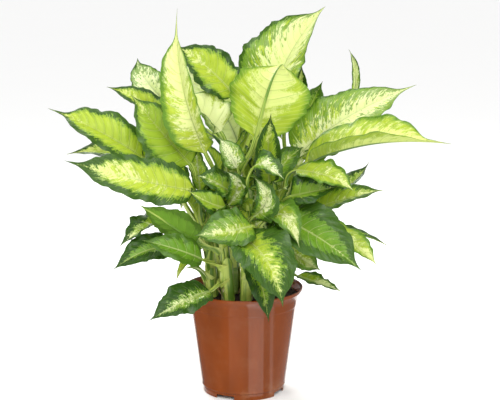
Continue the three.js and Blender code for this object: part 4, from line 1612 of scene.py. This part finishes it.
def mirrored(offset, height):
    """Place on the floor that the front of the pot's wall mirrors to the camera."""
    (low_radius, low), (high_radius, high) = POT_WALL
    flare = (high_radius - low_radius) / (high - low)
    radius = (low_radius + flare * (height / MM - low)) * MM
    turn = math.asin(max(-CARD_REACH, min(CARD_REACH, offset / radius)))
    wall = Vector((radius * math.sin(turn), -radius * math.cos(turn), height))
    normal = Vector((math.sin(turn), -math.cos(turn), -flare)).normalized()
    ray = (wall - Vector(CAMERA_PLACE)).reflect(normal)
    return wall - ray * (height / ray.z)


def add_card(name, left, right, left_shine, right_shine):
    """Card on the floor that shows as an upright sheen or shade on the wall of the pot."""
    columns = 2 + round((right - left) / CARD_STEP)
    points, faces, shares = [], [], []
    for height in np.linspace(*CARD_COVERS) * MM:
        for share in np.linspace(0, 1, columns):
            x, y, _ = mirrored(left + (right - left) * share, height)
            points.append((x, y, CARD_HEIGHT))
            shares.append((share, 0, 0))
    for k in range(len(points) - columns):
        if (k + 1) % columns:
            faces.append((k, k + columns, k + columns + 1, k + 1))
    f = Finish(name)
    share, _, _ = f.own("card_share")
    shine = f.scaled(share, right_shine - left_shine, left_shine)
    upper = f.scaled(f.add("NewGeometry").outputs["Backfacing"], -1.0, 1.0)
    light = f.add("Emission", {"Strength": f.math("MULTIPLY", shine, upper)}).outputs[0]
    card = make_mesh(name, points, faces, [f.close(light)], vectors={"card_share": shares})
    card.visible_camera = False
    card.visible_diffuse = False
    card.visible_transmission = False
    card.visible_shadow = False
    card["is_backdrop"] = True


def make_stage(settings):
    """Pale floor, soft light from all round, and the camera at the photograph's angle."""
    scene = bpy.context.scene
    make_floor(settings)
    sun = bpy.data.lights.new("sky_light", "SUN")
    sun.energy = SUN_STRENGTH * settings.light
    sun.angle = math.radians(SUN_WIDTH)
    add_holder("sky_light", sun, turn=(math.radians(SUN_TILT), 0, math.radians(SUN_TURN)))
    for name, place, size, power, glossy in LAMPS:
        add_lamp(name, place, size, power * settings.light, glossy)
    for name, left, right, *shines in CARDS:
        add_card(name, left * MM, right * MM, *(shine * settings.light for shine in shines))
    world = bpy.data.worlds.new("pale_room")
    world.use_nodes = True
    background = world.node_tree.nodes["Background"]
    background.inputs["Color"].default_value = (1, 1, 1, 1)
    background.inputs["Strength"].default_value = ROOM_LIGHT
    scene.world = world
    scene.view_settings.view_transform = "Standard"

    camera = bpy.data.cameras.new("photo_camera")
    camera.sensor_fit = "HORIZONTAL"
    camera.sensor_width = SENSOR_WIDTH
    camera.lens = settings.lens
    camera.clip_end = 100
    pitch = (math.radians(90 - CAMERA_PITCH), 0, 0)
    scene.camera = add_holder("photo_camera", camera, CAMERA_PLACE, pitch)


# ---------------------------------------------------------------------------
# Operators, panel and registering


class AddPot(bpy.types.Operator):
    """Add the pot"""

    bl_idname = "dieffenbachia.add_pot"
    bl_label = "Pot"

    def execute(self, context):
        make_pot(context.scene.dieffenbachia.pot)
        return {"FINISHED"}


class AddSoil(bpy.types.Operator):
    """Add the soil and its loose lumps"""

    bl_idname = "dieffenbachia.add_soil"
    bl_label = "Soil"

    def execute(self, context):
        make_soil(context.scene.dieffenbachia.soil)
        return {"FINISHED"}


class AddCanes(bpy.types.Operator):
    """Add the canes"""

    bl_idname = "dieffenbachia.add_canes"
    bl_label = "Canes"

    def execute(self, context):
        skin = cane_finish(context.scene.dieffenbachia.stems)
        for node in STEMS:
            make_cane(node, skin)
        return {"FINISHED"}


class AddSheaths(bpy.types.Operator):
    """Add the green sheaths round the canes, and the withered ones at their feet"""

    bl_idname = "dieffenbachia.add_sheaths"
    bl_label = "Sheaths"

    def execute(self, context):
        plant = context.scene.dieffenbachia
        skin = stalk_finish(plant.leaves)
        for letter in CANES:
            make_sheaths(letter, skin)
        make_dry_sheaths(dry_finish(plant.stems))
        return {"FINISHED"}


class AddLeaves(bpy.types.Operator):
    """Add the grown leaves, and the young leaves between them"""

    bl_idname = "dieffenbachia.add_leaves"
    bl_label = "Leaves"

    def execute(self, context):
        settings = context.scene.dieffenbachia.leaves
        materials = leaf_finishes(settings)
        for node in LEAVES:
            make_leaf(node, settings, materials)
        for number, young in enumerate(YOUNG_LEAVES, 1):
            make_young_leaf(number, young, settings, materials)
        return {"FINISHED"}


class AddStage(bpy.types.Operator):
    """Add the floor, the lamps and the camera"""

    bl_idname = "dieffenbachia.add_stage"
    bl_label = "Stage"

    def execute(self, context):
        make_stage(context.scene.dieffenbachia.stage)
        return {"FINISHED"}


class PlantPanel(bpy.types.Panel):
    """Settings and buttons for each group of pieces"""

    bl_idname = "VIEW3D_PT_dieffenbachia"
    bl_label = "Potted dieffenbachia"
    bl_space_type = "VIEW_3D"
    bl_region_type = "UI"
    bl_category = "Dieffenbachia"

    def draw(self, context):
        plant = context.scene.dieffenbachia
        for settings, *operators in (
            (plant.pot, AddPot),
            (plant.soil, AddSoil),
            (plant.stems, AddCanes, AddSheaths),
            (plant.leaves, AddLeaves),
            (plant.stage, AddStage),
        ):
            box = self.layout.box()
            for name in settings.__annotations__:
                box.prop(settings, name)
            for operator in operators:
                box.operator(operator.bl_idname)


CLASSES = (
    PotSettings, SoilSettings, StemSettings, LeafSettings, StageSettings, PlantSettings,
    AddPot, AddSoil, AddCanes, AddSheaths, AddLeaves, AddStage, PlantPanel,
)


def register():
    for entry in CLASSES:
        bpy.utils.register_class(entry)
    bpy.types.Scene.dieffenbachia = bpy.props.PointerProperty(type=PlantSettings)


def unregister():
    del bpy.types.Scene.dieffenbachia
    for entry in reversed(CLASSES):
        bpy.utils.unregister_class(entry)


def main():
    register()
    bpy.ops.dieffenbachia.add_stage()
    bpy.ops.dieffenbachia.add_pot()
    bpy.ops.dieffenbachia.add_soil()
    bpy.ops.dieffenbachia.add_canes()
    bpy.ops.dieffenbachia.add_sheaths()
    bpy.ops.dieffenbachia.add_leaves()
    sizes = {"cad": CAD_BOX, "visual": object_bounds()}
    sizes = {name: [list(corner) for corner in box] for name, box in sizes.items()}


if __name__ == "__main__":
    main()
